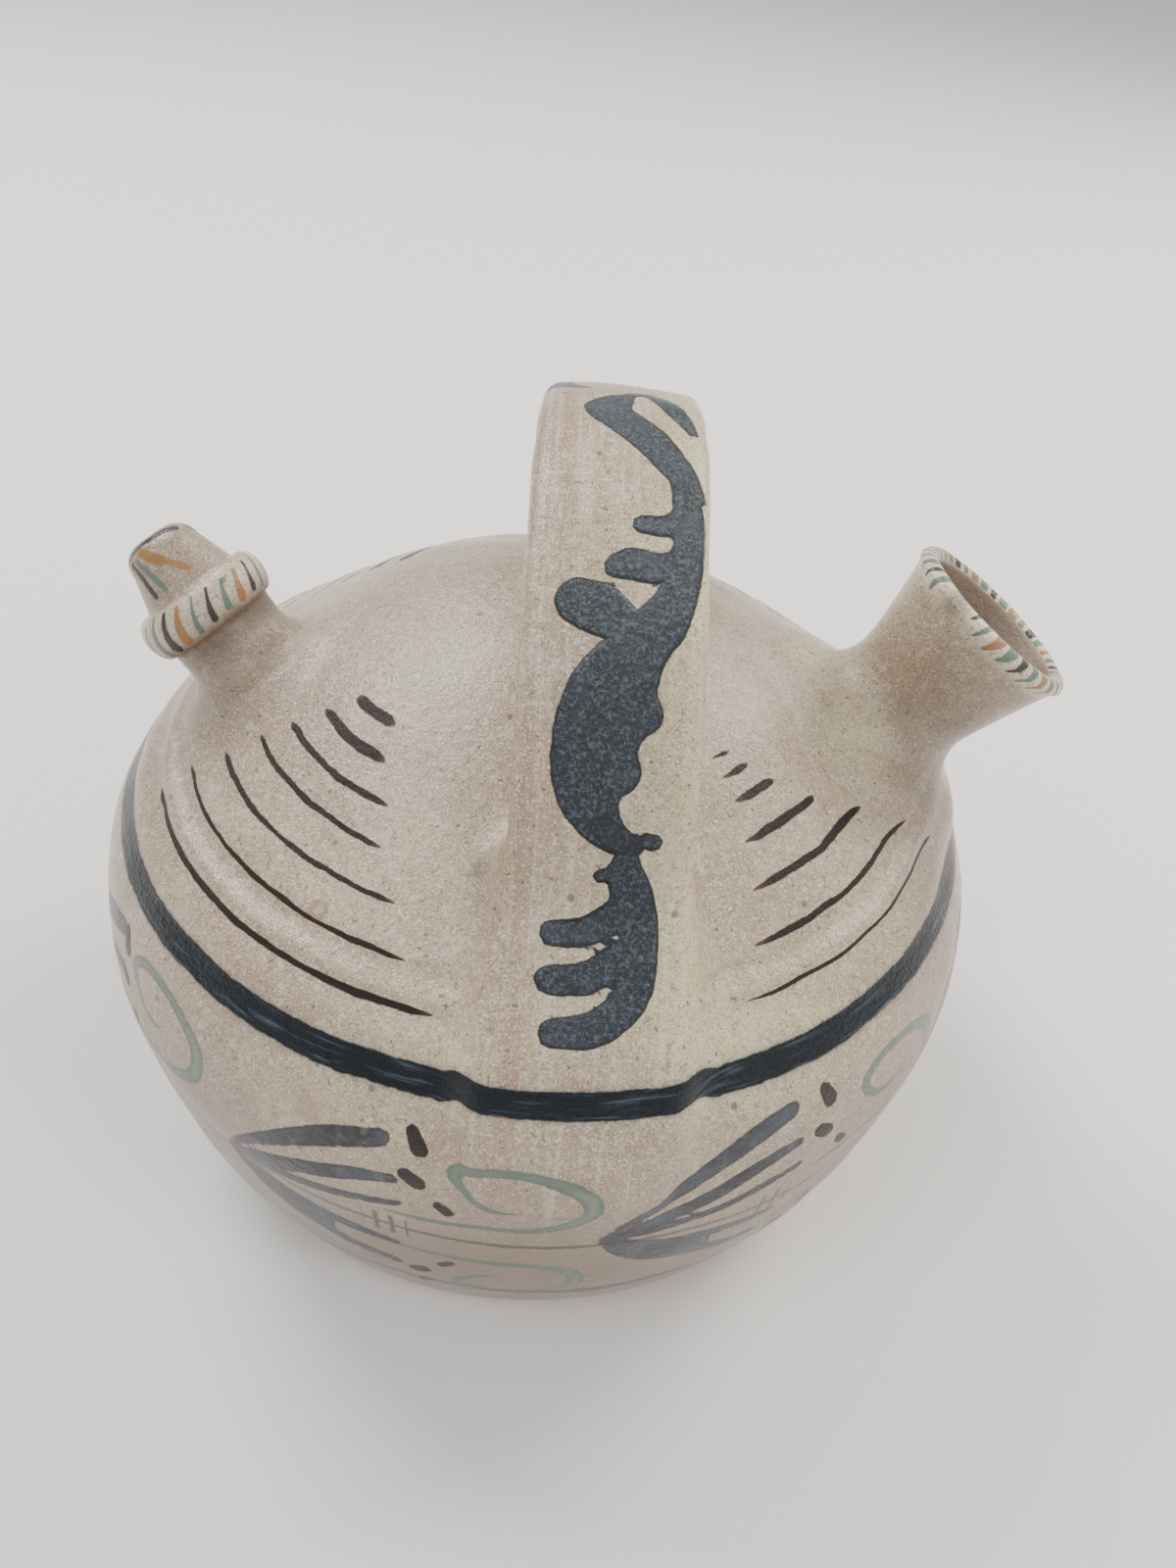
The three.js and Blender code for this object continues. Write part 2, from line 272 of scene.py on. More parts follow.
def turned_solid(profile: Array, sides: int) -> ClaySurface:
    """A profile from the axis to the axis, turned and closed by one point at each end."""
    return capped(turned(profile[1:-1], sides), [0, 0, profile[0, 1]], [0, 0, profile[-1, 1]])


@dataclass
class ThrownBody:
    """The body thrown on the wheel: flat underside, belly, ringed shoulder and dome, hollow inside."""

    radius: float = 100.0
    equator: float = 72.0
    dome_rise: float = 74.1
    heel_round: float = 8.0
    wall: float = 4.7
    floor: float = 6.0
    sides: int = 420
    cavity_sides: int = 144
    belly_shares: tuple = ((0.749, -1), (0.831, -0.857), (0.923, -0.574), (0.976, -0.286))
    dome_low_shares: tuple = ((0.954, 0.27), (0.815, 0.486), (0.665, 0.64))
    dome_high_shares: tuple = ((0.47, 0.812), (0.282, 0.93), (0.12, 0.99))
    rings: tuple = ((29.0, 2.4, 0.7), (34.6, 1.3, 0.8), (37.2, 1.2, -0.5))
    stretches: tuple = ((-30.0, 2.0), (25.0, 1.3), (42.0, 0.75))
    dome_spacing: float = 2.0
    crown_gap: float = 0.05
    heel_points: int = 7
    under_points: int = 8
    cavity_spacing: float = 5.0
    line: Array = field(init=False)
    outline: Array = field(init=False)

    def __post_init__(self) -> None:
        """Works out the plain profile once, as radius and rise above the equator."""
        belly = [(r * self.radius, h * self.equator) for r, h in self.belly_shares]
        shares = (*self.dome_low_shares, *self.dome_high_shares)
        dome = [(r * self.radius, h * self.dome_rise) for r, h in shares]
        self.line = curve_through([*belly, (self.radius, 0.0), *dome, (0.0, self.dome_rise)], 60, 0.0)
        self.outline = self.skin_profile()

    def radius_at(self, rise: Array) -> Array:
        """Radius of the plain body at a rise above the equator."""
        return np.interp(rise, self.line[:, 1], self.line[:, 0])

    def normal_at(self, rise: Array) -> Array:
        """Outward direction in radius and height: the profile's tangent turned by a quarter.

        Args:
            rise: Heights above the equator.

        Returns:
            One unit row for each height.
        """
        tangent = np.gradient(self.line, axis=0)
        steepness = np.stack([np.interp(rise, self.line[:, 1], tangent[:, i]) for i in (1, 0)], -1)
        normal = steepness * np.array([1.0, -1.0])
        return normal / np.linalg.norm(normal, axis=-1, keepdims=True)

    def off(self, rise: Array, distance: Array) -> Array:
        """A point off the plain profile along its normal, as radius and rise."""
        rise = np.asarray(rise, float)
        base = np.stack([self.radius_at(rise), rise], -1)
        return base + self.normal_at(rise) * np.asarray(distance, float)[..., None]

    def rises(self, start: float, end: float, step: float) -> Array:
        """Rises spaced evenly along the profile between two heights."""
        arc = np.concatenate([[0.0], np.cumsum(np.linalg.norm(np.diff(self.line, axis=0), axis=1))])
        low, high = np.interp([start, end], self.line[:, 1], arc)
        places = np.linspace(low, high, max(int(round((high - low) / step)), 1) + 1)
        return np.interp(places, arc, self.line[:, 1])

    def skin_profile(self) -> Array:
        """The outer profile from the underside's middle to the crown.

        Returns:
            Radius and height of each row.
        """
        foot = self.normal_at(np.array([-self.equator + self.heel_round / 2]))[0]
        heel_top = -self.equator + self.heel_round * (1 + foot[1])
        centre = self.off(heel_top, -self.heel_round)
        angles = np.linspace(-math.pi / 2, math.atan2(foot[1], foot[0]), self.heel_points)
        heel = centre + self.heel_round * np.stack([np.cos(angles), np.sin(angles)], -1)
        heel[0, 1] = -self.equator
        under = np.linspace(0.0, heel[0, 0], self.under_points)[:-1]
        low, rises = heel_top, []
        for high, spacing in (*self.stretches, (self.dome_rise - self.crown_gap, self.dome_spacing)):
            rises.append(self.rises(low, high, spacing)[1:])
            low = high
        rises = np.concatenate(rises)
        relief = sum(depth * np.exp(-(((rises - at) / half) ** 2)) for at, half, depth in self.rings)
        skin = self.off(rises, relief)
        flat = np.stack([under, np.full(len(under), -self.equator)], -1)
        profile = np.vstack([flat, heel, skin, [[0.0, self.dome_rise]]])
        return profile + np.array([0.0, self.equator])

    def skin(self) -> ClaySurface:
        """The body's outer surface."""
        return turned_solid(self.outline, self.sides)

    def hollow(self) -> ClaySurface:
        """The empty inside, one wall in from the plain profile and flat above the floor."""
        lowest = self.floor - self.equator
        rises = self.rises(lowest, self.dome_rise - 0.1, self.cavity_spacing)
        inner = self.off(rises, np.full(rises.shape, -self.wall))
        inner = np.maximum(inner, [0.4, lowest])
        crown = [[0.0, self.dome_rise - self.wall]]
        profile = np.vstack([[[0.0, lowest]], inner, crown]) + np.array([0.0, self.equator])
        return turned_solid(profile, self.cavity_sides)

    def distance(self, points: Array) -> Array:
        """Signed distance to the outer surface."""
        return outline_distance(np.hypot(points[:, 0], points[:, 1]), points[:, 2], self.outline)


@dataclass
class Neck:
    """A neck that stands on the dome and leans along its own axis."""

    body: ThrownBody
    root_rise: float
    root_turn: float
    lean: float
    lean_turn: float
    sides: int
    length: float
    flare: float
    flare_sink: float = 3.0
    flare_limit: float = 0.97
    root_depth: float = 12.0
    plug_length: float = 30.0
    plug_taper: float = 2.0
    wall: float = 3.3

    @property
    def root(self) -> Array:
        """The point of the dome's skin where the axis stands."""
        turn = math.radians(self.root_turn)
        radius = float(self.body.radius_at(np.array([self.root_rise]))[0])
        height = self.body.equator + self.root_rise
        return np.array([radius * math.cos(turn), radius * math.sin(turn), height])

    @property
    def turn(self) -> Array:
        """The rotation that takes Z to the leaning axis by the shortest way, one axis in each column."""
        tilt, turn = math.radians(self.lean), math.radians(self.lean_turn)
        axis = Vector((math.sin(tilt) * math.cos(turn), math.sin(tilt) * math.sin(turn), math.cos(tilt)))
        return np.array(Vector((0, 0, 1)).rotation_difference(axis).to_matrix())

    def local(self, points: Array) -> Array:
        """Points in the neck's own frame, with its height along Z."""
        return (points - self.root) @ self.turn

    def placed(self, surface: ClaySurface) -> ClaySurface:
        """A surface moved from the neck's own frame to its place on the dome."""
        return ClaySurface(surface.points @ self.turn.T + self.root, surface.faces)

    def foot(self, height: Array) -> Array:
        """How far the foot has spread: f (1 - sqrt(1 - s^2)), s the share of the flare still to go."""
        share = np.clip((self.flare - self.flare_sink - height) / self.flare, 0.0, self.flare_limit)
        return self.flare * (1 - np.sqrt(1 - share * share))

    def outer(self) -> Array:
        """The outer profile from below the skin up to the rim."""
        raise NotImplementedError

    def bore(self) -> Array:
        """The bore's profile from the rim down."""
        raise NotImplementedError

    def plug_radius(self) -> float:
        """Radius of the opening made for this neck in the body's skin."""
        raise NotImplementedError

    def wall_ring(self) -> ClaySurface:
        """The neck's wall as one closed ring of clay."""
        loop = np.vstack([self.outer(), self.bore()])
        faces = grid_faces(len(loop), self.sides, True)
        return self.placed(ClaySurface(turned(loop, self.sides).reshape(-1, 3), faces))

    def plug(self) -> ClaySurface:
        """The tapered plug that opens the body's skin under the neck."""
        half, radius = self.plug_length / 2, self.plug_radius()
        low, high = radius + self.plug_taper, radius - self.plug_taper
        profile = np.array([[0, -half], [low, -half], [high, half], [0, half]], float)
        return self.placed(turned_solid(profile, self.sides))

    def distance(self, points: Array) -> Array:
        """Signed distance to the neck's outer form, as if it were filled."""
        near = self.local(points)
        outer = self.outer()
        outline = np.vstack([[[0.0, outer[0, 1]]], outer, [[0.0, outer[-1, 1]]]])
        return outline_distance(np.hypot(near[:, 0], near[:, 1]), near[:, 2], outline)


@dataclass
class FillingMouth(Neck):
    """The wide mouth that the jug is filled through."""

    root_rise: float = 43.4
    root_turn: float = 2.0
    lean: float = 35.1
    lean_turn: float = 6.4
    sides: int = 132
    length: float = 36.0
    flare: float = 11.0
    lip_radius: float = 19.0
    lip_roll: float = 2.4
    throat_radius: float = 15.6
    throat_depth: float = 25.0
    opening_power: float = 1.3
    bore_flare: float = 7.5
    bore_flare_depth: float = 30.0

    def radius_at(self, depth: Array) -> Array:
        """Outer radius below the lip: t + (l - t) (1 - d / D)^p."""
        opening = self.lip_radius + self.lip_roll - self.throat_radius
        share = np.maximum(1 - depth / self.throat_depth, 0.0)
        return self.throat_radius + opening * share**self.opening_power

    def outer(self) -> Array:
        """Up the outside and over the outer half of the rolled lip."""
        depth = np.concatenate([[self.length + self.root_depth], np.linspace(self.length + 2.5, 4.1, 28)])
        side = np.stack([self.radius_at(depth) + self.foot(self.length - depth), self.length - depth], -1)
        return np.vstack([side, self.roll(0.0, 90.0, 6)])

    def roll(self, start: float, end: float, count: int) -> Array:
        """Part of the lip's round roll between two angles in degrees."""
        angle = np.radians(np.linspace(start, end, count))
        centre = self.length - self.lip_roll
        reach, up = self.lip_roll * np.cos(angle), self.lip_roll * np.sin(angle)
        return np.stack([self.lip_radius + reach, centre + up], -1)

    def bore(self) -> Array:
        """Over the inner half of the lip and down the bore, which widens again under the skin."""
        deepest = self.length + self.root_depth
        depth = np.concatenate([np.linspace(5.8, 44.0, 20), [deepest]])
        spread = self.bore_flare * ease(depth, self.bore_flare_depth, self.length + self.body.wall)
        side = np.stack([self.radius_at(depth) - self.wall + spread, self.length - depth], -1)
        return np.vstack([self.roll(90.0, 180.0, 6)[1:], side])

    def plug_radius(self) -> float:
        """Wider than the bore and narrower than the foot."""
        return self.throat_radius - self.wall + 0.75 * self.bore_flare


@dataclass
class DrinkingSpout(Neck):
    """The narrow spout with a bead round it and a small hole at its tip."""

    root_rise: float = 48.0
    root_turn: float = 181.5
    lean: float = 41.2
    lean_turn: float = 162.0
    sides: int = 108
    length: float = 34.0
    flare: float = 9.0
    wall: float = 4.2
    neck_length: float = 16.0
    neck_radius: float = 12.0
    bead_radius: float = 15.0
    bead_half: float = 5.0
    notch_radius: float = 12.0
    tip_length: float = 18.0
    tip_radius: float = 8.4
    tip_round: float = 5.4
    tip_taper: float = 1.3
    groove_fill: float = 2.6
    hole_radius: float = 2.4
    hole_length: float = 6.0

    def radius_at(self, height: Array) -> Array:
        """Outer radius at a height: the widest of the flared root, a half-round bead and a tapering tip."""
        above = height - self.neck_length
        share = np.clip(above / (self.tip_length - self.tip_round), 0.0, 1.0)
        tip = self.notch_radius + (self.tip_radius - self.notch_radius) * share**self.tip_taper
        plain = np.where(above < 0, self.neck_radius + self.foot(height), tip)
        bulge = np.sqrt(1 - np.minimum(np.abs(above) / self.bead_half, 1.0) ** 2)
        bead = np.where(bulge > 0, self.notch_radius + (self.bead_radius - self.notch_radius) * bulge, 0.0)
        return -blend_min(-plain, -bead, self.groove_fill)

    def outer(self) -> Array:
        """Up the outside and over the rounded tip to the hole's edge."""
        bead_angle = np.radians(np.linspace(-84.0, 84.0, 17))
        centre = self.length - self.tip_round
        below = np.linspace(-2.5, self.neck_length - self.bead_half, 12)
        bead = self.neck_length + self.bead_half * np.sin(bead_angle)
        tip = np.linspace(self.neck_length + self.bead_half, centre, 9)
        height = np.concatenate([[-self.root_depth], below, bead, tip])
        side = np.stack([self.radius_at(height), height], -1)
        angle = np.radians(np.linspace(0.0, 90.0, 9))[1:]
        middle = np.array([side[-1, 0] - self.tip_round, centre])
        rounding = middle + self.tip_round * np.stack([np.cos(angle), np.sin(angle)], -1)
        return np.vstack([side, rounding, [[self.hole_radius + 0.1, self.length]]])

    def bore(self) -> Array:
        """Down the small hole and the wider bore below it."""
        hole, wide = self.hole_radius, self.neck_radius - self.wall
        top, hole_end = self.length - 0.5, self.length - self.hole_length
        return np.array([[hole, top], [hole, hole_end], [wide, self.neck_length], [wide, -self.root_depth]])

    def plug_radius(self) -> float:
        """Wider than the bore and narrower than the foot."""
        return self.neck_radius - self.wall / 2

    def on_skin(self, turn: float, height: float) -> Array:
        """A point of the tip's skin, by its turn in degrees and its height."""
        past = np.clip((height - self.length + self.tip_round) / self.tip_round, 0.0, 1.0)
        radius = float(self.radius_at(np.array([height]))[0]) - self.tip_round * (1 - math.sqrt(1 - past**2))
        angle = math.radians(turn)
        near = np.array([radius * math.cos(angle), radius * math.sin(angle), height])
        return near @ self.turn.T + self.root


@dataclass
class StrapHandle:
    """The broad strap over the dome, pressed onto the shoulder in front and behind."""

    body: ThrownBody
    top_rise: float = 111.0
    arch_centre: float = 30.0
    half_span: float = 76.0
    top_width: float = 33.0
    foot_width: float = 40.0
    thickness: float = 9.5
    edge_round: float = 4.0
    crown: float = 0.5
    spread_rise: float = 30.0
    straight_rise: float = 66.0
    top_offset: float = 9.0
    foot_offset: float = 10.4
    root: tuple = ((-14.0, -2.0), (4.0, 1.8), (24.5, 4.4), (39.0, 6.0), (48.0, 8.2))
    arch_angles: tuple = (31.0, 50.0, 70.0)
    rows: int = 230
    line: Array = field(init=False)
    arc: Array = field(init=False)

    def __post_init__(self) -> None:
        """Works out the line of the outer face once, as reach along Y and rise above the equator."""
        half = [self.body.off(rise, proud) for rise, proud in self.root]
        for angle in np.radians(self.arch_angles):
            rise = self.arch_centre + (self.top_rise - self.arch_centre) * math.sin(angle)
            half.append(np.array([self.half_span * math.cos(angle), rise]))
        front = [point * [-1, 1] for point in half]
        self.line = curve_through([*front, (0.0, self.top_rise), *half[::-1]], 40)
        steps = np.linalg.norm(np.diff(self.line, axis=0), axis=1)
        self.arc = np.concatenate([[0.0], np.cumsum(steps)])

    def width_at(self, rise: Array) -> Array:
        """The strap's width, which grows to its feet."""
        return self.top_width + (self.foot_width - self.top_width) * self.foot_share(rise)

    def foot_share(self, rise: Array) -> Array:
        """1 at the feet, 0 over the arch."""
        return 1 - ease(rise, self.spread_rise, self.straight_rise)

    def offset_at(self, rise: Array) -> Array:
        """How far the strap's middle stands from the body's axis along X."""
        share = ease(rise, self.straight_rise, self.top_rise)
        return self.foot_offset + (self.top_offset - self.foot_offset) * share

    def section(self) -> Array:
        """The strap's section at the top, as across and out: a crowned face and four rounded edges."""
        half, edge = self.top_width / 2, self.edge_round
        flat = np.linspace(-half + edge, half - edge, 21)
        crown = self.crown * (1 - (flat / (half - edge)) ** 2)
        corner = np.radians(np.linspace(90.0, 0.0, 6))[1:]
        right = np.stack([half - edge + edge * np.cos(corner), -edge + edge * np.sin(corner)], -1)
        under = np.stack([right[:, 0], -self.thickness - right[:, 1]], -1)[::-1]
        back = np.stack([flat[::-2], np.full(len(flat[::-2]), -self.thickness)], -1)
        half_loop = np.vstack([np.stack([flat, crown], -1), right, under, back])
        left = np.vstack([right, under])[::-1] * [-1, 1]
        return np.vstack([half_loop, left])

    def surface(self) -> ClaySurface:
        """Carries the section along the line.

        x = offset + across, and reach = line + normal * out, wrapped round the body at the feet.

        Returns:
            The closed strap.
        """
        place = np.linspace(0.0, self.arc[-1], self.rows)
        reach = np.interp(place, self.arc, self.line[:, 0])
        rise = np.interp(place, self.arc, self.line[:, 1])
        tangent = np.stack([np.gradient(reach, place), np.gradient(rise, place)], -1)
        tangent /= np.linalg.norm(tangent, axis=-1, keepdims=True)
        section = self.section()
        foot = self.foot_share(rise)[:, None]
        across = section[None, :, 0] * (self.width_at(rise) / self.top_width)[:, None]
        x = self.offset_at(rise)[:, None] + across
        out = section[None, :, 1]
        far = reach[:, None] - tangent[:, 1:2] * out
        y = np.sign(far) * np.sqrt(np.maximum(far**2 - x**2 * foot, 0.0))
        z = self.body.equator + rise[:, None] + tangent[:, 0:1] * out
        points = np.stack([x, y, np.broadcast_to(z, x.shape)], -1)
        return capped(points, points[0].mean(0), points[-1].mean(0))

    def unrolled(self, points: Array) -> tuple[Array, Array, Array, Array]:
        """Place along the strap from its top, across it, out from its face and beyond its ends.

        A point is first unwrapped from the body, reach = sqrt(y^2 + x^2 f), and then set against the nearest
        straight piece of the line.

        Args:
            points: Points in the jug's frame.

        Returns:
            Along from the top, positive down the front, then across, out and beyond.
        """
        rise = points[:, 2] - self.body.equator
        foot = self.foot_share(rise)
        reach = np.sign(points[:, 1]) * np.sqrt(points[:, 1] ** 2 + points[:, 0] ** 2 * foot)
        best = np.full(len(points), 1e9)
        along, out, beyond = np.zeros(len(points)), np.zeros(len(points)), np.zeros(len(points))
        line, arc = self.line[::2], self.arc[::2]
        for i in range(len(line) - 1):
            step = line[i + 1] - line[i]
            length = float(np.linalg.norm(step))
            unit = step / length
            dy, dz = reach - line[i, 0], rise - line[i, 1]
            travel = dy * unit[0] + dz * unit[1]
            held = np.clip(travel, 0.0, length)
            gap = np.hypot(dy - held * unit[0], dz - held * unit[1])
            nearer = gap < best
            best = np.where(nearer, gap, best)
            along = np.where(nearer, arc[i] + held, along)
            out = np.where(nearer, -dy * unit[1] + dz * unit[0], out)
            beyond = np.where(nearer, np.abs(travel - held), beyond)
        middle = np.interp(along, self.arc, self.line[:, 1])
        across = points[:, 0] - self.offset_at(middle)
        return self.arc[-1] / 2 - along, across, out, beyond

    def distance(self, points: Array) -> Array:
        """Signed distance to the strap: a rounded bar round the middle of its thickness."""
        along, across, out, beyond = self.unrolled(points)
        rise = np.interp(self.arc[-1] / 2 - along, self.arc, self.line[:, 1])
        side = np.abs(across) - (self.width_at(rise) / 2 - self.edge_round)
        face = np.abs(out + self.thickness / 2) - (self.thickness / 2 - self.edge_round)
        corner = np.hypot(np.maximum(side, 0), np.maximum(face, 0)) + np.minimum(np.maximum(side, face), 0)
        skin = corner - self.edge_round
        return np.hypot(np.maximum(skin, 0), beyond) + np.minimum(skin, 0)


@dataclass
class Brushwork:
    """Every painted stroke, as signed distances in millimetres that are negative under the paint."""

    body: ThrownBody
    strap: StrapHandle
    motifs: int = 8
    first_root: float = -80.0
    mirror_height: float = 57.2
    frieze_low: float = 26.0
    frieze_high: float = 92.0
    leaf: tuple = (
        ((0, 60.2, 0.6), (2.9, 66.4, 1.2), (8.8, 75.6, 2.0), (15.3, 82.6, 2.6), (21.2, 86.4, 2.1)),
        ((0.5, 60.0, 0.8), (5.5, 64.5, 2.2), (12.4, 70.8, 2.2), (18.0, 75.0, 1.9), (22.8, 77.2, 1.3)),
        ((2.0, 60.4, 1.2), (9.0, 63.0, 1.4), (16.0, 66.6, 1.4), (23.6, 70.4, 0.9)),
        ((0.4, 58.6, 0.6), (3.6, 55.0, 3.6), (7.6, 51.4, 5.2), (12.0, 49.6, 4.4)),
        ((8.0, 54.0, 2.4), (15.0, 53.6, 2.0), (22.6, 52.4, 1.2)),
        ((8.0, 49.0, 3.2), (15.0, 44.6, 2.4), (22.0, 41.0, 1.6)),
    )
    spiral: tuple = (
        *((-7.1, 73.0, 0.4), (-10.0, 71.9, 0.8), (-13.6, 74.5, 1.1), (-15.3, 79.3, 1.4), (-12.3, 82.7, 1.2)),
        *((-5.2, 81.8, 1.3), (-0.8, 76.5, 1.9), (-1.2, 69.4, 1.8), (-5.6, 64.6, 1.2), (-14.0, 63.9, 0.9)),
        (-22.8, 63.2, 0.6),
    )
    dots: tuple = (
        ((-20.6, 87.6, 1.4), (-19.6, 84.0, 1.9)),
        ((-20.9, 77.4, 1.7), (-19.6, 75.8, 1.8)),
        ((-17.2, 70.6, 1.3), (-16.2, 68.8, 1.3)),
    )
    spiral_shifts: tuple = (
        *((-0.9, 1.4), (3.4, 2.6), (1.0, -1.5), (-2.0, 1.8)),
        *((1.6, 0.4), (-1.2, -1.0), (2.2, 1.6), (-3.6, 4.6)),
    )
    leaf_shifts: tuple = ((0.0, 0.0),) * 7 + ((-0.6, -1.9),)
    handle_strokes: tuple = (
        (
            *((-8.0, -1.0, 3.0), (-2.0, -3.2, 4.6), (3.4, 0.2, 4.3)),
            *((9.4, 4.8, 3.9), (17.4, 9.8, 3.2), (24.0, 13.8, 1.7)),
        ),
        ((-13.0, 4.6, 1.2), (-9.0, 7.6, 2.2), (-2.0, 10.4, 2.1), (5.4, 13.0, 1.1)),
        ((-8.0, -1.0, 1.6), (-12.0, 2.0, 1.6), (-13.0, 5.0, 1.4)),
        ((18.6, 10.4, 2.2), (28.6, 12.2, 2.9), (37.0, 12.2, 3.0), (44.2, 10.8, 3.4), (50.4, 7.8, 4.6)),
        ((28.6, 11.4, 1.9), (31.2, 8.0, 2.4), (31.2, 4.2, 2.1)),
        ((38.0, 10.6, 2.0), (40.0, 6.6, 2.9), (39.4, 2.8, 3.2), (40.0, 0.0, 2.5)),
        ((51.0, 2.6, 3.2), (48.4, -2.8, 4.8), (47.2, -6.2, 4.4)),
        (
            *((51.0, 7.6, 3.9), (55.8, 3.8, 5.2), (61.6, 0.4, 7.2), (68.6, -1.9, 7.5)),
            *((76.0, -3.1, 6.6), (81.6, -2.6, 4.9), (86.6, 0.6, 3.4), (89.4, 4.8, 2.4)),
        ),
        ((63.0, 4.4, 3.4), (66.4, 6.4, 2.5), (68.0, 5.8, 1.4)),
        ((72.6, 0.6, 3.9), (76.4, 2.6, 3.0), (78.4, 1.8, 1.8)),
        ((87.6, 7.4, 1.6), (88.0, 8.7, 1.8)),
        (
            *((90.6, 4.4, 1.9), (93.6, 4.6, 2.9), (97.0, 5.6, 3.6), (103.0, 7.4, 3.7), (110.6, 8.5, 3.1)),
            *((116.6, 7.6, 3.4), (120.6, 4.4, 3.5), (122.6, 0.4, 3.3), (123.0, -5.6, 2.7)),
        ),
        ((102.2, 4.4, 3.2), (105.4, -1.3, 2.7), (106.0, -7.0, 2.4)),
        ((109.8, 5.5, 3.3), (113.6, -0.9, 3.0), (114.0, -7.2, 2.6)),
        ((95.0, 1.2, 1.5), (95.4, 0.2, 1.3)),
    )
    handle_edge: tuple = ((85.6, -0.4, 1.9), (87.2, 2.0, 2.3), (88.8, 5.0, 2.1))
    back_scale: float = 0.86
    back_start: float = -16.0
    motif_reach: float = 36.0
    belt_radius: float = 70.0
    curve_steps: int = 7

    def frieze(self, points: Array) -> dict[Paint, Array]:
        """The leaf sprays, spirals and dots round the belly, one motif after another.

        Each motif is drawn on the unrolled belly: across is the turn from its root in degrees times the
        belly's arc for a degree, and up is the height. Spirals and dots are mirrored, up -> 2 m - up.

        Args:
            points: Points in the jug's frame.

        Returns:
            Distances for each paint.
        """
        turn = np.degrees(np.arctan2(points[:, 1], points[:, 0]))
        height = points[:, 2]
        fields = {paint: np.full(len(points), FAR) for paint in (Paint.WASH, Paint.GREEN, Paint.BLACK)}
        arc = self.body.radius * math.pi / 180.0
        belt = (height > self.frieze_low - 4) & (height < self.frieze_high + 3)
        belt &= np.hypot(points[:, 0], points[:, 1]) > self.belt_radius
        for number in range(self.motifs):
            root = self.first_root + number * 360.0 / self.motifs
            away = (turn - root + 180.0) % 360.0 - 180.0
            near = np.flatnonzero(belt & (np.abs(away) < self.motif_reach))
            across, up = away[near] * arc, height[near]
            low = 2 * self.mirror_height - up
            shift_turn, shift_up = self.spiral_shifts[number]

            def lay(paint: Paint, stroke: tuple, shift: tuple, *levels: Array) -> None:
                """Adds one stroke, at each of the given levels, to a paint's distances."""
                rows = np.array(stroke, float) + [shift[0], shift[1], 0.0]
                rows = curve_through(rows * [arc, 1.0, 1.0], self.curve_steps)
                for level in levels:
                    gap = stroke_distance(across, level, rows)
                    fields[paint][near] = np.minimum(fields[paint][near], gap)

            for stroke in self.leaf:
                lay(Paint.WASH, stroke, self.leaf_shifts[number], up)
            lay(Paint.GREEN, self.spiral, (shift_turn, shift_up), up, low)
            for dot in self.dots:
                lay(Paint.BLACK, dot, (shift_turn / 2, 0.0), up, low)
        return fields

    def handle(self, points: Array, on_strap: Array) -> tuple[Array, Array]:
        """The thick scrolling strokes down the strap's face, again on its back half.

        Args:
            points: Points in the jug's frame.
            on_strap: Where the strap's face is.

        Returns:
            Distances to the strokes, and to the dark knot over them.
        """
        enamel, knot = np.full(len(points), FAR), np.full(len(points), FAR)
        near = np.flatnonzero(on_strap)
        along, across, out, _ = self.strap.unrolled(points[near])
        hidden = np.where(out < -self.strap.edge_round, FAR, 0.0)
        behind = along < self.back_start
        along = np.where(behind, -along, along)
        across = np.where(behind, -across * self.back_scale, across)
        for stroke in self.handle_strokes:
            rows = curve_through(np.array(stroke, float), self.curve_steps)
            enamel[near] = np.minimum(enamel[near], stroke_distance(along, across, rows) + hidden)
        rows = curve_through(np.array(self.handle_edge), self.curve_steps)
        knot[near] = stroke_distance(along, across, rows) + hidden
        return enamel, knot


def relief_noise(points: Array, size: float, seed: int, count: int = 24, peak: float = 1.6) -> Array:
    """Smooth unevenness: the mean of sines along random directions, sum sin(k . p + f) / sqrt(n / 2).

    Args:
        points: Points in millimetres.
        size: Roughly how far apart its bumps are.
        seed: Which unevenness.
        count: How many sines are added.
        peak: How high the sum mostly reaches.

    Returns:
        Values mostly between -1 and 1.
    """
    random = np.random.default_rng(seed)
    direction = random.normal(size=(count, 3))
    direction /= np.linalg.norm(direction, axis=1, keepdims=True)
    rate = 2 * math.pi / size * random.uniform(0.6, 1.4, count)
    phase = random.uniform(0, 2 * math.pi, count)
    total = sum(np.sin(points @ direction[i] * rate[i] + phase[i]) for i in range(count))
    return total / math.sqrt(count / 2) / peak


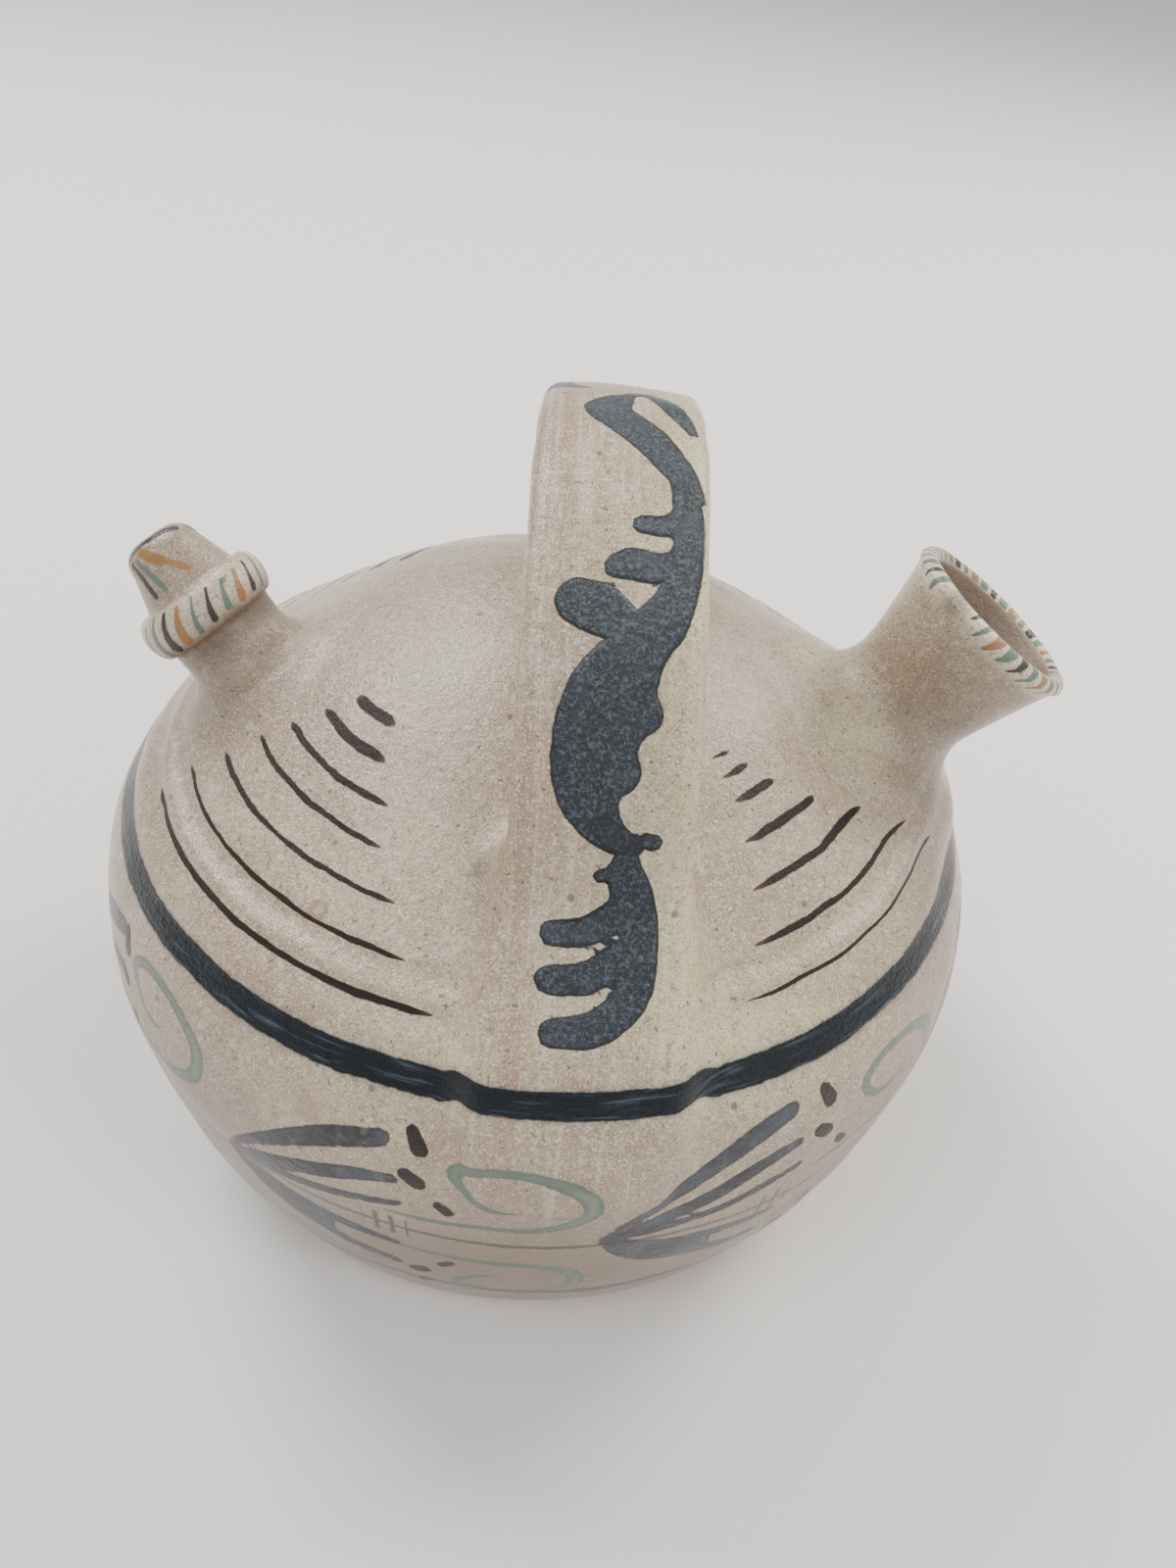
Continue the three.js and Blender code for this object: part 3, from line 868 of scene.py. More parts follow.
@dataclass
class WaterJug:
    """The whole jug: its forms are joined and hollowed, and the seams drawn out as wet clay would be."""

    body: ThrownBody
    mouth: FillingMouth
    spout: DrinkingSpout
    strap: StrapHandle
    mouth_fillet: float = 13.0
    spout_fillet: float = 7.0
    strap_fillet: float = 9.0
    flush_fillet: float = 1.2
    fillet_rise: tuple = (2.0, 34.0)
    weld: float = 0.22
    skin_depth: float = 1.4
    unevenness: float = 0.28
    inward: float = 0.8
    slope_step: float = 0.05
    spread: float = 0.6
    reach_of_fillet: float = 0.002

    def join(self, base: bpy.types.Object, surface: ClaySurface, operation: str) -> None:
        """Joins a closed surface to the base or takes it away.

        Args:
            base: The object that is changed.
            surface: The other closed surface.
            operation: UNION or DIFFERENCE.
        """
        tool = bpy.data.objects.new("tool", surface.mesh("tool"))
        bpy.context.scene.collection.objects.link(tool)
        change = base.modifiers.new("join", "BOOLEAN")
        change.operation = operation
        change.solver = "MANIFOLD"
        change.object = tool
        view = bpy.context.evaluated_depsgraph_get()
        result = bpy.data.meshes.new_from_object(base.evaluated_get(view))
        base.modifiers.remove(change)
        old = base.data
        base.data = result
        bpy.data.meshes.remove(old)
        bpy.data.objects.remove(tool)

    def build(self) -> bpy.types.Object:
        """Joins the forms in the order a potter would, then welds the tiny edges and splits the faces into
        triangles.

        Returns:
            The jug's object.
        """
        jug = bpy.data.objects.new("glazed_jug", self.body.skin().mesh("glazed jug"))
        bpy.context.scene.collection.objects.link(jug)
        self.join(jug, self.strap.surface(), "UNION")
        for neck in (self.mouth, self.spout):
            self.join(jug, neck.plug(), "DIFFERENCE")
        for neck in (self.mouth, self.spout):
            self.join(jug, neck.wall_ring(), "UNION")
        self.join(jug, self.body.hollow(), "DIFFERENCE")
        self.tidy(jug.data)
        return jug

    def tidy(self, mesh: bpy.types.Mesh) -> None:
        """Welds the tiny edges that joining leaves, and splits the faces into triangles."""
        shape = bmesh.new()
        shape.from_mesh(mesh)
        bmesh.ops.remove_doubles(shape, verts=shape.verts, dist=self.weld * MM)
        bmesh.ops.dissolve_degenerate(shape, edges=shape.edges, dist=0.05 * MM)
        bmesh.ops.triangulate(shape, faces=shape.faces)
        shape.to_mesh(mesh)
        shape.free()

    def distances(self, points: Array) -> dict[str, Array]:
        """Signed distances to each outer form, as if it were solid."""
        parts = {"body": self.body, "mouth": self.mouth, "spout": self.spout, "strap": self.strap}
        return {name: part.distance(points) for name, part in parts.items()} | {"height": points[:, 2]}

    def blended(self, parts: dict[str, Array]) -> Array:
        """The outer forms joined with their fillets. The strap's fades where it lies almost flush."""
        rise = parts["height"] - self.body.equator
        grown = ease(rise, *self.fillet_rise)
        reach = self.flush_fillet + (self.strap_fillet - self.flush_fillet) * grown
        skin = blend_min(parts["body"], parts["strap"], reach)
        skin = blend_min(skin, parts["mouth"], self.mouth_fillet)
        return blend_min(skin, parts["spout"], self.spout_fillet)

    def smooth_seams(self, mesh: bpy.types.Mesh) -> dict[str, Array]:
        """Moves points near the seams onto the filleted form.

        The points go p -> p - d grad d, and between these steps they spread evenly.

        Args:
            mesh: The joined mesh.

        Returns:
            The distances to each form at the final points, and which points are on the outside.
        """
        count = len(mesh.vertices)
        flat = np.zeros(count * 3)
        mesh.vertices.foreach_get("co", flat)
        points = flat.reshape(-1, 3) / MM
        parts = self.distances(points)
        hard = np.minimum.reduce([parts[name] for name in ("body", "mouth", "spout", "strap")])
        soft = self.blended(parts)
        outside = hard > -self.skin_depth
        moving = np.flatnonzero(outside & (hard - soft > self.reach_of_fillet))
        log.info("seams: %d of %d points", len(moving), count)
        edge_flat = np.zeros(len(mesh.edges) * 2, int)
        mesh.edges.foreach_get("vertices", edge_flat)
        edges = edge_flat.reshape(-1, 2)
        is_moving = np.zeros(count, bool)
        is_moving[moving] = True
        edges = edges[is_moving[edges].any(1)]
        rounds = 6
        for step in range(rounds):
            near = points[moving]
            value, slope = self.slope(near)
            near = near - value[:, None] * slope
            points[moving] = near
            total = np.zeros((count, 3))
            number = np.zeros(count)
            for a, b in ((0, 1), (1, 0)):
                np.add.at(total, edges[:, a], points[edges[:, b]])
                np.add.at(number, edges[:, a], 1.0)
            mean = total[moving] / np.maximum(number[moving], 1.0)[:, None]
            pull = mean - near
            pull -= (pull * slope).sum(1)[:, None] * slope
            if step < rounds - 1:
                points[moving] = near + self.spread * pull
        mesh.vertices.foreach_set("co", (points * MM).reshape(-1))
        mesh.update()
        final = self.distances(points)
        final["outside"] = outside
        final["points"] = points
        return final

    def slope(self, points: Array) -> tuple[Array, Array]:
        """The blended distance and its direction of growth, by small differences."""
        value, small = self.blended(self.distances(points)), self.slope_step
        rise = [self.blended(self.distances(points + small * unit)) - value for unit in np.eye(3)]
        slope = np.stack(rise, -1) / small
        return value, slope / np.maximum(np.linalg.norm(slope, axis=1, keepdims=True), 1e-6)

    def roughen(self, mesh: bpy.types.Mesh, found: dict[str, Array]) -> None:
        """Makes the outer skin softly uneven, mostly inwards, and shades it smoothly.

        Args:
            mesh: The jug's mesh.
            found: The points and the outside from smoothing the seams.
        """
        points = found["points"]
        normals = np.zeros(len(points) * 3)
        mesh.vertices.foreach_get("normal", normals)
        swell = relief_noise(points, 46.0, 3) * 0.6 + relief_noise(points, 17.0, 5) * 0.4
        share = found["outside"] * ease(points[:, 2], 2.0, 12.0)
        moved = points + normals.reshape(-1, 3) * ((swell - self.inward) * share * self.unevenness)[:, None]
        mesh.vertices.foreach_set("co", (moved * MM).reshape(-1))
        mesh.polygons.foreach_set("use_smooth", np.ones(len(mesh.polygons), bool))
        mesh.update()


@dataclass
class GlazeFields:
    """What the glaze needs at each point: strokes, the strap's own directions, pools, blushes, dirt and
    painted shade.
    """

    jug: WaterJug
    brush: Brushwork
    # Painted shade: the side of the spout on which the shade under the bead is painted.
    shaded_side: tuple = (0.7, -0.7, 0.1)
    smear_turn: float = -142.0
    smear_width: float = 8.5
    smear_rise: tuple = (6.5, 3.5)
    body_reach: float = 6.0
    neck_clear: float = 3.0
    strap_reach: float = 1.0
    mouth_reach: float = 6.0
    bead_reach: float = 1.5
    proud_height: float = 1.2
    step_reach: float = 5.0
    bead_slip: float = 0.62
    # Painted shade: where the shade under the bead is painted, and how dark the shade painted along the
    # necks' seams is.
    bead_shade: tuple = (6.2, 3.6)
    seam_width: float = 3.2
    seam_shade: float = 0.25
    smear_dirt: float = 0.5
    grime: tuple = (((-10.4, -62.8, 121.7), 2.4, 1.0), ((-10.0, -67.0, 118.0), 3.4, 0.45))
    pools: tuple = (
        ((62.0, -14.0, 119.0), 9.0, 1.0),
        ((58.0, 6.0, 124.0), 10.0, 0.8),
        ((38.0, -88.0, 101.0), 11.0, 0.9),
        ((56.0, -74.0, 103.0), 12.0, 0.6),
        ((-16.0, -92.0, 102.0), 8.0, 0.8),
        ((28.0, -80.0, 112.0), 10.0, 0.45),
        ((24.0, -40.0, 168.0), 13.0, 0.6),
        ((-8.0, -40.0, 168.0), 7.0, 0.4),
        ((40.0, 60.0, 122.0), 12.0, 0.6),
    )
    # Darker brown patches in the glaze. The one low on the right of the belly is painted shade.
    blushes_and_shade: tuple = (
        ((86.0, -4.0, 130.0), 24.0, 1.0),
        ((80.0, -6.0, 112.0), 17.0, 0.9),
        ((-72.0, -4.0, 124.0), 21.0, 1.0),
        ((88.0, -48.0, 74.0), 28.0, 0.7),
        ((-86.0, 4.0, 148.0), 15.0, 0.45),
        ((-10.0, -78.0, 128.0), 14.0, 0.6),
        ((0.0, -100.0, 70.0), 26.0, 0.35),
        ((-84.0, -40.0, 84.0), 26.0, 0.4),
        ((84.0, -36.0, 100.0), 16.0, 0.4),
    )

    def blobs(self, points: Array, places: tuple) -> Array:
        """Soft patches: the sum of strength exp(-(distance / size)^2) over the places."""
        total = np.zeros(len(points))
        for place, size, strength in places:
            total += strength * np.exp(-((np.linalg.norm(points - place, axis=1) / size) ** 2))
        return np.clip(total, 0.0, 1.0)

    def write(self, mesh: bpy.types.Mesh, found: dict[str, Array]) -> None:
        """Works out every field at the mesh's points and stores them as attributes.

        Args:
            mesh: The jug's mesh.
            found: The distances and points from smoothing the seams.
        """
        jug, brush = self.jug, self.brush
        points, outside = found["points"], found["outside"]
        necks = np.minimum(found["mouth"], found["spout"])
        others = np.minimum(necks, found["strap"])
        on_body = outside & (found["body"] < self.body_reach) & (necks > self.neck_clear)
        on_strap = outside & (found["strap"] < self.strap_reach)
        fields = {}
        for paint, distance in brush.frieze(points).items():
            fields[paint.value] = np.where(on_body, distance, FAR)
        enamel, knot = brush.handle(points, on_strap)
        fields[Paint.ENAMEL.value] = enamel
        mouth_place, spout_place = jug.mouth.local(points), jug.spout.local(points)
        lip, bead = jug.mouth.length, jug.spout.neck_length
        near_mouth = found["mouth"] < self.mouth_reach
        inner = np.hypot(mouth_place[:, 0], mouth_place[:, 1]) < jug.mouth.lip_radius
        near_bead = outside & (found["spout"] < self.bead_reach)
        along, across, _, _ = jug.strap.unrolled(points)
        proud = ease(found["body"], 0.0, self.proud_height)
        fields["knot"] = knot
        fields["along"] = along
        fields["across"] = across
        fields["strap"] = ease(np.where(on_strap, 3.0 - found["strap"], 0.0), 0.5, 2.0) * proud
        fields["stepped"] = ease(self.step_reach - found["strap"], 0.0, 4.5) * outside
        fields["slip"] = np.maximum(
            ease(mouth_place[:, 2] * near_mouth, lip - 6.0 + 4.6 * inner, lip - 3.6 + 2.8 * inner),
            self.bead_slip * near_bead * ease(5.5 - np.abs(spout_place[:, 2] - bead - 0.5), 0.0, 2.5),
        )
        lip_turn = np.degrees(np.arctan2(mouth_place[:, 1], mouth_place[:, 0]))
        smear = np.exp(-(((lip_turn - self.smear_turn) / self.smear_width) ** 2)) * near_mouth * outside
        smear *= ease(mouth_place[:, 2], lip - self.smear_rise[0], lip - self.smear_rise[1])
        fields["smear"] = smear
        fields["slip"] *= 1.0 - smear
        # Painted shade under the spout's bead, darkest on the shaded side.
        below, width = self.bead_shade
        under_bead = np.exp(-(((spout_place[:, 2] - bead + below) / width) ** 2)) * near_bead
        radial = points - (jug.spout.root + spout_place[:, 2:] * jug.spout.turn[:, 2])
        facing = radial @ self.shaded_side / np.maximum(np.linalg.norm(radial, axis=1), 1.0)
        # Painted shade along the seams where the necks meet the body. The smear on the lip and the grime
        # spots are dirt.
        away = np.maximum(found["body"], 0.0) + np.maximum(others, 0.0)
        seam = np.exp(-((away / self.seam_width) ** 2)) * ease(necks, self.mouth_reach, 0.0)
        shade_and_smear = self.seam_shade * seam * outside + self.smear_dirt * smear
        shade_and_smear += under_bead * ease(facing, -0.3, 0.7)
        fields["shade_and_dirt"] = np.clip(shade_and_smear + self.blobs(points, self.grime) * outside, 0.0, 1.0)
        fields["pool"] = self.blobs(points, self.pools)
        fields["blush_and_shade"] = self.blobs(points, self.blushes_and_shade)
        fields["inside"] = (~outside).astype(float)
        fields["neck"] = ease(-necks, -self.neck_clear, 0.0)
        for name, values in fields.items():
            attribute = mesh.attributes.new(name, "FLOAT", "POINT")
            attribute.data.foreach_set("value", np.asarray(values, np.float32))


def sign(operation: str, swapped: bool = False) -> Callable:
    """Makes a sign of Wire, which lays one math node.

    Args:
        operation: The math node's operation.
        swapped: Whether the wire is its second number.

    Returns:
        The method.
    """

    def method(wire: "Wire", other: object = None) -> "Wire":
        """Lays the node."""
        return wire.bench.math(operation, *((other, wire) if swapped else (wire, other)))

    return method


class Wire:
    """An output socket that can be reckoned with: each sign lays the math node of its name."""

    __add__ = __radd__ = sign("ADD")
    __sub__, __rsub__ = sign("SUBTRACT"), sign("SUBTRACT", True)
    __mul__ = __rmul__ = sign("MULTIPLY")
    __truediv__ = sign("DIVIDE")
    __mod__ = sign("MODULO")
    __abs__ = sign("ABSOLUTE")

    def __init__(self, bench: "NodeBench", socket: bpy.types.NodeSocket) -> None:
        """Keeps the socket and the bench that lays its nodes."""
        self.bench, self.socket = bench, socket


class NodeBench:
    """A short way to lay shader nodes and wire them."""

    def __init__(self, material: bpy.types.Material) -> None:
        """Clears the material's tree and keeps it."""
        material.use_nodes = True
        self.material = material
        self.tree = material.node_tree
        self.tree.nodes.clear()

    def node(self, kind: str, inputs: dict, **settings: object) -> bpy.types.Node:
        """Lays one node.

        Args:
            kind: Its type, without the word ShaderNode.
            inputs: Wires or plain values, by the input's name or number.
            settings: The node's own settings.

        Returns:
            The node.
        """
        node = self.tree.nodes.new("ShaderNode" + kind)
        for name, value in settings.items():
            setattr(node, name, value)
        for name, value in inputs.items():
            if isinstance(value, Wire):
                self.tree.links.new(value.socket, node.inputs[name])
            elif value is not None:
                node.inputs[name].default_value = value
        return node

    def wire(self, kind: str, inputs: dict, output: int | str = 0, **settings: object) -> Wire:
        """Lays one node and gives one of its outputs."""
        return Wire(self, self.node(kind, inputs, **settings).outputs[output])

    def math(self, operation: str, *values: object, clamp: bool = False) -> Wire:
        """One number from up to three others."""
        return self.wire("Math", dict(enumerate(values)), operation=operation, use_clamp=clamp)

    def most(self, first: Wire, *others: Wire) -> Wire:
        """The greatest of some numbers."""
        for other in others:
            first = self.math("MAXIMUM", first, other)
        return first

    def mix(self, share: Wire, first: object, second: object) -> Wire:
        """A colour between two colours."""
        tones = [(*tone, 1.0) if isinstance(tone, tuple) else tone for tone in (first, second)]
        return self.wire("Mix", {0: share, 6: tones[0], 7: tones[1]}, 2, data_type="RGBA")

    def step(self, value: Wire, low: float, high: float, to_low: float = 0.0, to_high: float = 1.0) -> Wire:
        """A smooth step from one value to another, as a Map Range node."""
        inputs = dict(enumerate((value, low, high, to_low, to_high)))
        return self.wire("MapRange", inputs, interpolation_type="SMOOTHSTEP")

    def noise(self, vector: Wire, scale: float, detail: float, rough: float, warp: float = 0.0) -> Wire:
        """A noise about 0.5, its scale per unit of the vector."""
        names = ("Vector", "Scale", "Detail", "Roughness", "Distortion")
        return self.wire("TexNoise", dict(zip(names, (vector, scale, detail, rough, warp))))

    def vector(self, *parts: object) -> Wire:
        """Three numbers as a vector."""
        return self.wire("CombineXYZ", dict(enumerate(parts)))

    def reckon(self, operation: str, output: str, *values: object) -> Wire:
        """A vector math node, whose fixed vectors may be arrays."""
        given = [value if isinstance(value, Wire) else tuple(map(float, value)) for value in values]
        return self.wire("VectorMath", dict(enumerate(given)), output, operation=operation)

    def dot(self, vector: Wire, direction: Array) -> Wire:
        """How far a vector reaches along a fixed direction."""
        return self.reckon("DOT_PRODUCT", "Value", vector, direction)

    def gap(self, vector: Wire, place: object) -> Wire:
        """How far a vector is from a place."""
        return self.reckon("DISTANCE", "Value", vector, place)

    def segment(self, vector: Wire, first: Array, last: Array) -> Wire:
        """How far a vector is from the straight line between two fixed places.

        The nearest place of the line is first + s (last - first), with s between 0 and 1.

        Args:
            vector: The place that is measured from.
            first: One end of the line.
            last: Its other end.

        Returns:
            The distance.
        """
        span = last - first
        unit = span / (span @ span)
        share = self.math("MAXIMUM", self.dot(vector, unit) - float(first @ unit), 0.0)
        share = self.math("MINIMUM", share, 1.0)
        nearest = self.reckon("MULTIPLY_ADD", "Vector", self.vector(share, share, share), span, first)
        return self.gap(vector, nearest)

    def random(self, value: Wire) -> Wire:
        """A number from 0 to 1 that is the same for the same value."""
        return self.wire("TexWhiteNoise", {"W": value}, "Value", noise_dimensions="1D")

    def attribute(self, name: str) -> Wire:
        """A number kept at the mesh's points."""
        return self.wire("Attribute", {}, "Fac", attribute_name=name)

    def ramp(self, value: Wire, stops: list[tuple[float, tuple]]) -> tuple[Wire, Wire]:
        """A straight-line ramp with four channels, as its colour and alpha."""
        node = self.node("ValToRGB", {0: value})
        points = node.color_ramp.elements
        points[0].position, points[0].color = stops[0]
        points[1].position, points[1].color = stops[-1]
        for position, colour in stops[1:-1]:
            points.new(position).color = colour
        return Wire(self, node.outputs[0]), Wire(self, node.outputs[1])

    def bump(self, height: Wire, distance: float, strength: float, under: Wire | None = None) -> Wire:
        """A bump whose height is in units of distance, laid over another."""
        inputs = {"Strength": strength, "Distance": distance, "Height": height, "Normal": under}
        return self.wire("Bump", inputs)


@dataclass(frozen=True)
class ArcFan:
    """A fan of brown arcs on the dome.

    Each arc has its height, its two ends in degrees from the mouth's side and its half width in millimetres.
    """

    heights: tuple
    starts: tuple
    ends: tuple
    half_widths: tuple
    start_taper: float
    end_taper: float
    low: float = 100.0
    span: float = 36.0
    gap_unit: float = 8.0
    turn_unit: float = 180.0
    width_unit: float = 2.0
    below: float = 4.0
    above: float = 3.0

    def stops(self) -> list[tuple[float, tuple]]:
        """Ramp stops that say for each height what the nearest arc is.

        Returns:
            The place of each stop, with the gap to the nearest arc, its ends and its half width in its unit.
        """
        rows = list(zip(self.heights, self.starts, self.ends, self.half_widths))
        stops = []

        def add(height: float, gap: float, start: float, end: float, half: float) -> None:
            """Adds one stop at a height."""
            units = (self.gap_unit, self.turn_unit, self.turn_unit, self.width_unit)
            shares = tuple(value / unit for value, unit in zip((gap, start, end, half), units))
            stops.append(((height - self.low) / self.span, shares))

        add(rows[0][0] - self.below, self.below, *rows[0][1:])
        for row, after in zip(rows[:-1], rows[1:]):
            add(row[0], 0.0, *row[1:])
            half_gap = (after[0] - row[0]) / 2
            add(row[0] + half_gap, half_gap, *((a + b) / 2 for a, b in zip(row[1:], after[1:])))
        add(rows[-1][0], 0.0, *rows[-1][1:])
        add(rows[-1][0] + self.above, self.above, *rows[-1][1:])
        return stops


@dataclass(frozen=True)
class StrokeRing:
    """How short strokes go round a neck, in the neck's own frame and in millimetres."""

    count: int
    middle: float
    half_length: float
    half_width: float
    slant: float
    bend: float
    reach: float
    taper: float
    colours: tuple


@dataclass(frozen=True)
class GlazedClay:
    """The speckled satin glaze and its paints. Colours are linear, lengths are in millimetres."""

    tan: tuple = (0.425, 0.330, 0.226)
    pink: tuple = (0.320, 0.225, 0.158)
    pale: tuple = (0.57, 0.49, 0.37)
    pool: tuple = (0.56, 0.53, 0.29)
    # Dark brown for dirt, specks and pits, also used for the painted shade.
    dirt_and_shade: tuple = (0.10, 0.07, 0.05)
    soil: tuple = (0.20, 0.145, 0.105)
    glint: tuple = (0.72, 0.65, 0.53)
    umber: tuple = (0.190, 0.130, 0.088)
    rust: tuple = (0.29, 0.165, 0.11)
    slip: tuple = (0.60, 0.53, 0.40)
    wash: tuple = (0.050, 0.060, 0.082)
    wash_dark: tuple = (0.016, 0.020, 0.032)
    green: tuple = (0.040, 0.092, 0.066)
    ochre: tuple = (0.27, 0.135, 0.045)
    sage: tuple = (0.095, 0.150, 0.122)
    black: tuple = (0.014, 0.011, 0.011)
    band: tuple = (0.006, 0.009, 0.013)
    band_streak: tuple = (0.060, 0.082, 0.110)
    enamel: tuple = (0.011, 0.018, 0.026)
    enamel_light: tuple = (0.062, 0.084, 0.106)
    enamel_edge: tuple = (0.010, 0.012, 0.020)
    brown: tuple = (0.018, 0.010, 0.008)
    brown_thin: tuple = (0.09, 0.045, 0.03)
    band_low: float = 93.8
    band_high: float = 98.5
    band_step: float = 2.6
    band_spread: float = 0.1
    ring_spot: tuple = (-39.6, -66.1, 111.6)
    ring_radius: float = 1.5
    worn_spot: tuple = (-38.3, -90.4, 84.7)
    foot_line: float = 29.3
    foot_line_half: float = 1.7
    stem_line: float = 58.4
    stem_sway: float = 6.0
    motif_start: float = 440.0
    motif_turn: float = 45.0
    tick_turn: float = 21.0
    tick_spacing: float = 1.9
    lip_top: float = 36.0
    lip_middle_radius: float = 18.4
    roughness: float = 0.25
    refraction: float = 1.5
    right_fan: ArcFan = ArcFan(
        (105.3, 111.2, 116.9, 121.8, 126.1, 129.0, 131.2),
        (15.4, 18.6, 24.4, 32.1, 38.1, 41.2, 43.9),
        (62.4, 58.4, 54.9, 52.2, 49.8, 49.4, 49.6),
        (0.42, 0.46, 0.52, 0.58, 0.60, 0.48, 0.36),
        1.6,
        4.6,
    )
    left_fan: ArcFan = ArcFan(
        (105.0, 110.3, 115.6, 120.5, 124.7, 128.6, 132.2),
        (101.0, 106.4, 110.6, 116.8, 119.5, 125.9, 129.8),
        (160.8, 160.7, 157.4, 155.2, 152.1, 148.6, 144.8),
        (0.62, 0.40, 0.36, 0.38, 0.42, 0.60, 0.64),
        2.8,
        2.0,
    )
    lip_ring: StrokeRing = StrokeRing(36, 34.0, 1.9, 0.86, 0.22, 0.0, 27.0, -0.4, (2, 1, 2, 0))
    bead_colours: tuple = (2, 1, 0, 2, 1, 2, 0, 1, 2, 0, 2, 1, 0, 2, 0, 1, 2, 0, 1, 2, 0, 2, 1, 0)
    bead_ring: StrokeRing = StrokeRing(24, 16.4, 3.3, 0.86, 0.36, -0.012, 17.5, 0.35, bead_colours)
    tip_strokes: tuple = (
        (0, (-122.0, 31.0), (-106.0, 23.6), 0.78),
        (2, (-108.0, 31.2), (-88.0, 23.8), 0.72),
        (1, (-94.0, 32.2), (-72.0, 28.6), 1.15),
        (1, (-76.0, 29.4), (-50.0, 24.4), 0.72),
        (0, (-136.0, 32.0), (-70.0, 33.5), 0.95),
        (0, (-70.0, 33.5), (-14.0, 32.4), 1.1),
        (2, (10.0, 31.4), (22.0, 25.0), 0.8),
        (0, (60.0, 31.8), (74.0, 25.0), 0.8),
        (1, (120.0, 31.4), (136.0, 25.6), 0.8),
        (2, (170.0, 31.4), (182.0, 25.4), 0.8),
    )

    @property
    def stroke_tones(self) -> tuple:
        """The short strokes' colours, by number."""
        return self.black, self.ochre, self.sage


class GlazePainter(NodeBench):
    """Lays the glaze's layers one over another. Its colour is what has been laid so far."""

    def __init__(self, tone: GlazedClay, mouth: FillingMouth, spout: DrinkingSpout) -> None:
        """Starts a material with what every layer reads: the place, the noises and the fields.

        Args:
            tone: The colours and measures.
            mouth: The filling mouth, for the strokes round its lip.
            spout: The drinking spout, for the strokes on its bead and tip.
        """
        super().__init__(bpy.data.materials.new("glazed clay"))
        self.tone, self.mouth, self.spout = tone, mouth, spout
        place = self.wire("TexCoord", {}, "Object")
        self.point = self.wire("Mapping", {"Vector": place, "Scale": (1 / MM, 1 / MM, 1 / MM)})
        x, y, self.height = (Wire(self, part) for part in self.node("SeparateXYZ", {0: self.point}).outputs)
        self.turn = self.math("ARCTAN2", y, x) * (180.0 / math.pi)
        self.broad = self.noise(self.point, 0.022, 3.0, 0.55)
        self.mottle = self.noise(self.point, 0.11, 4.0, 0.62)
        self.grain = self.noise(self.point, 2.3, 2.0, 0.65)
        self.edge = self.noise(self.point, 0.35, 3.0, 0.6)
        self.wobble = self.edge - 0.5
        self.strap, self.neck, self.inside = (self.attribute(name) for name in ("strap", "neck", "inside"))
        self.across = self.attribute("across")
        brushed = self.vector(self.across, self.attribute("along") * 0.035, 3.0)
        self.streak = self.noise(brushed, 0.55, 4.0, 0.62)
        # Painted shade under the bead and along the necks' seams, together with dirt: the smear on the lip
        # and the grime spots.
        self.shade_and_dirt = self.attribute("shade_and_dirt") * self.step(self.mottle, 0.3, 0.6, 0.55, 0.92)
        self.skin = (1.0 - self.most(self.strap, self.neck)) * (1.0 - self.inside)
        self.colour: Wire | tuple = tone.tan

    def lay(self, share: Wire, colour: Wire | tuple) -> None:
        """Lays a colour over what is there."""
        self.colour = self.mix(share, self.colour, colour)

    def ground(self) -> None:
        """Lays the glaze itself: its tones, pools, blushes, specks and pits, its dirt, its painted shade and
        painted glints.
        """
        tone, step, mottle, streak, strap = self.tone, self.step, self.mottle, self.streak, self.strap
        grain, height = self.grain, self.height
        blush_and_shade = self.attribute("blush_and_shade")
        shy = step(blush_and_shade, 0.0, 1.0, 1.0, 0.4)
        speck = self.noise(self.point, 0.62, 3.0, 0.6)
        fleck = self.noise(self.point, 0.95, 1.0, 0.5)
        pits = self.wire("TexVoronoi", {"Vector": self.point, "Scale": 0.085}, "Distance")
        creamy = step(self.across, 2.0, 15.0, 0.0, 0.62) * step(height, 92.0, 112.0)
        ruddy = step(self.across, -7.0, -12.0, 0.12, 0.55) * step(streak, 0.46, 0.60)
        ring = abs(self.gap(self.point, tone.ring_spot) - tone.ring_radius)
        worn = self.gap(self.point, tone.worn_spot) + self.wobble * 3.0
        for share, colour in (
            (step(self.broad, 0.36, 0.64), tone.pink),
            (step(mottle, 0.50, 0.78, 0.0, 0.55), tone.pale),
            (step(mottle, 0.46, 0.22, 0.0, 0.35), tone.pink),
            (blush_and_shade * step(mottle, 0.30, 0.62, 0.6, 1.0), tone.umber),
            (self.attribute("pool") * step(mottle, 0.32, 0.6, 0.35, 1.0), tone.pool),
            (strap * creamy, tone.pool),
            (strap * ruddy, tone.rust),
            (strap * step(streak, 0.47, 0.34, 0.0, 0.6), tone.pale),
            (self.attribute("slip"), tone.slip),
            (shy * step(speck, 0.54, 0.68, 0.0, 0.60), tone.pale),
            (step(speck, 0.46, 0.30, 0.0, 0.60), tone.soil),
            (step(grain, 0.54, 0.68, 0.0, 0.75), tone.soil),
            # Light specks in the glaze, which also stand in for painted glints of sparkle.
            (shy * step(grain, 0.46, 0.32, 0.0, 0.85), tone.glint),
            (step(fleck, 0.66, 0.76, 0.0, 0.8), tone.dirt_and_shade),
            (step(pits, 0.075, 0.045, 0.0, 0.75), tone.dirt_and_shade),
            # Painted shade and dirt.
            (self.shade_and_dirt, tone.dirt_and_shade),
            (step(ring, 0.9, 0.3, 0.0, 0.85), tone.rust),
            (step(worn, 3.6, 2.2, 0.0, 0.6), tone.pink),
            # Painted shade: the clay is darker towards the bottom.
            (step(height, 90.0, 44.0, 0.0, 0.95), tone.umber),
            (step(height, 6.0, 0.0, 0.0, 0.5), tone.rust),
            (self.inside * 0.8, tone.umber),
        ):
            self.lay(share, colour)

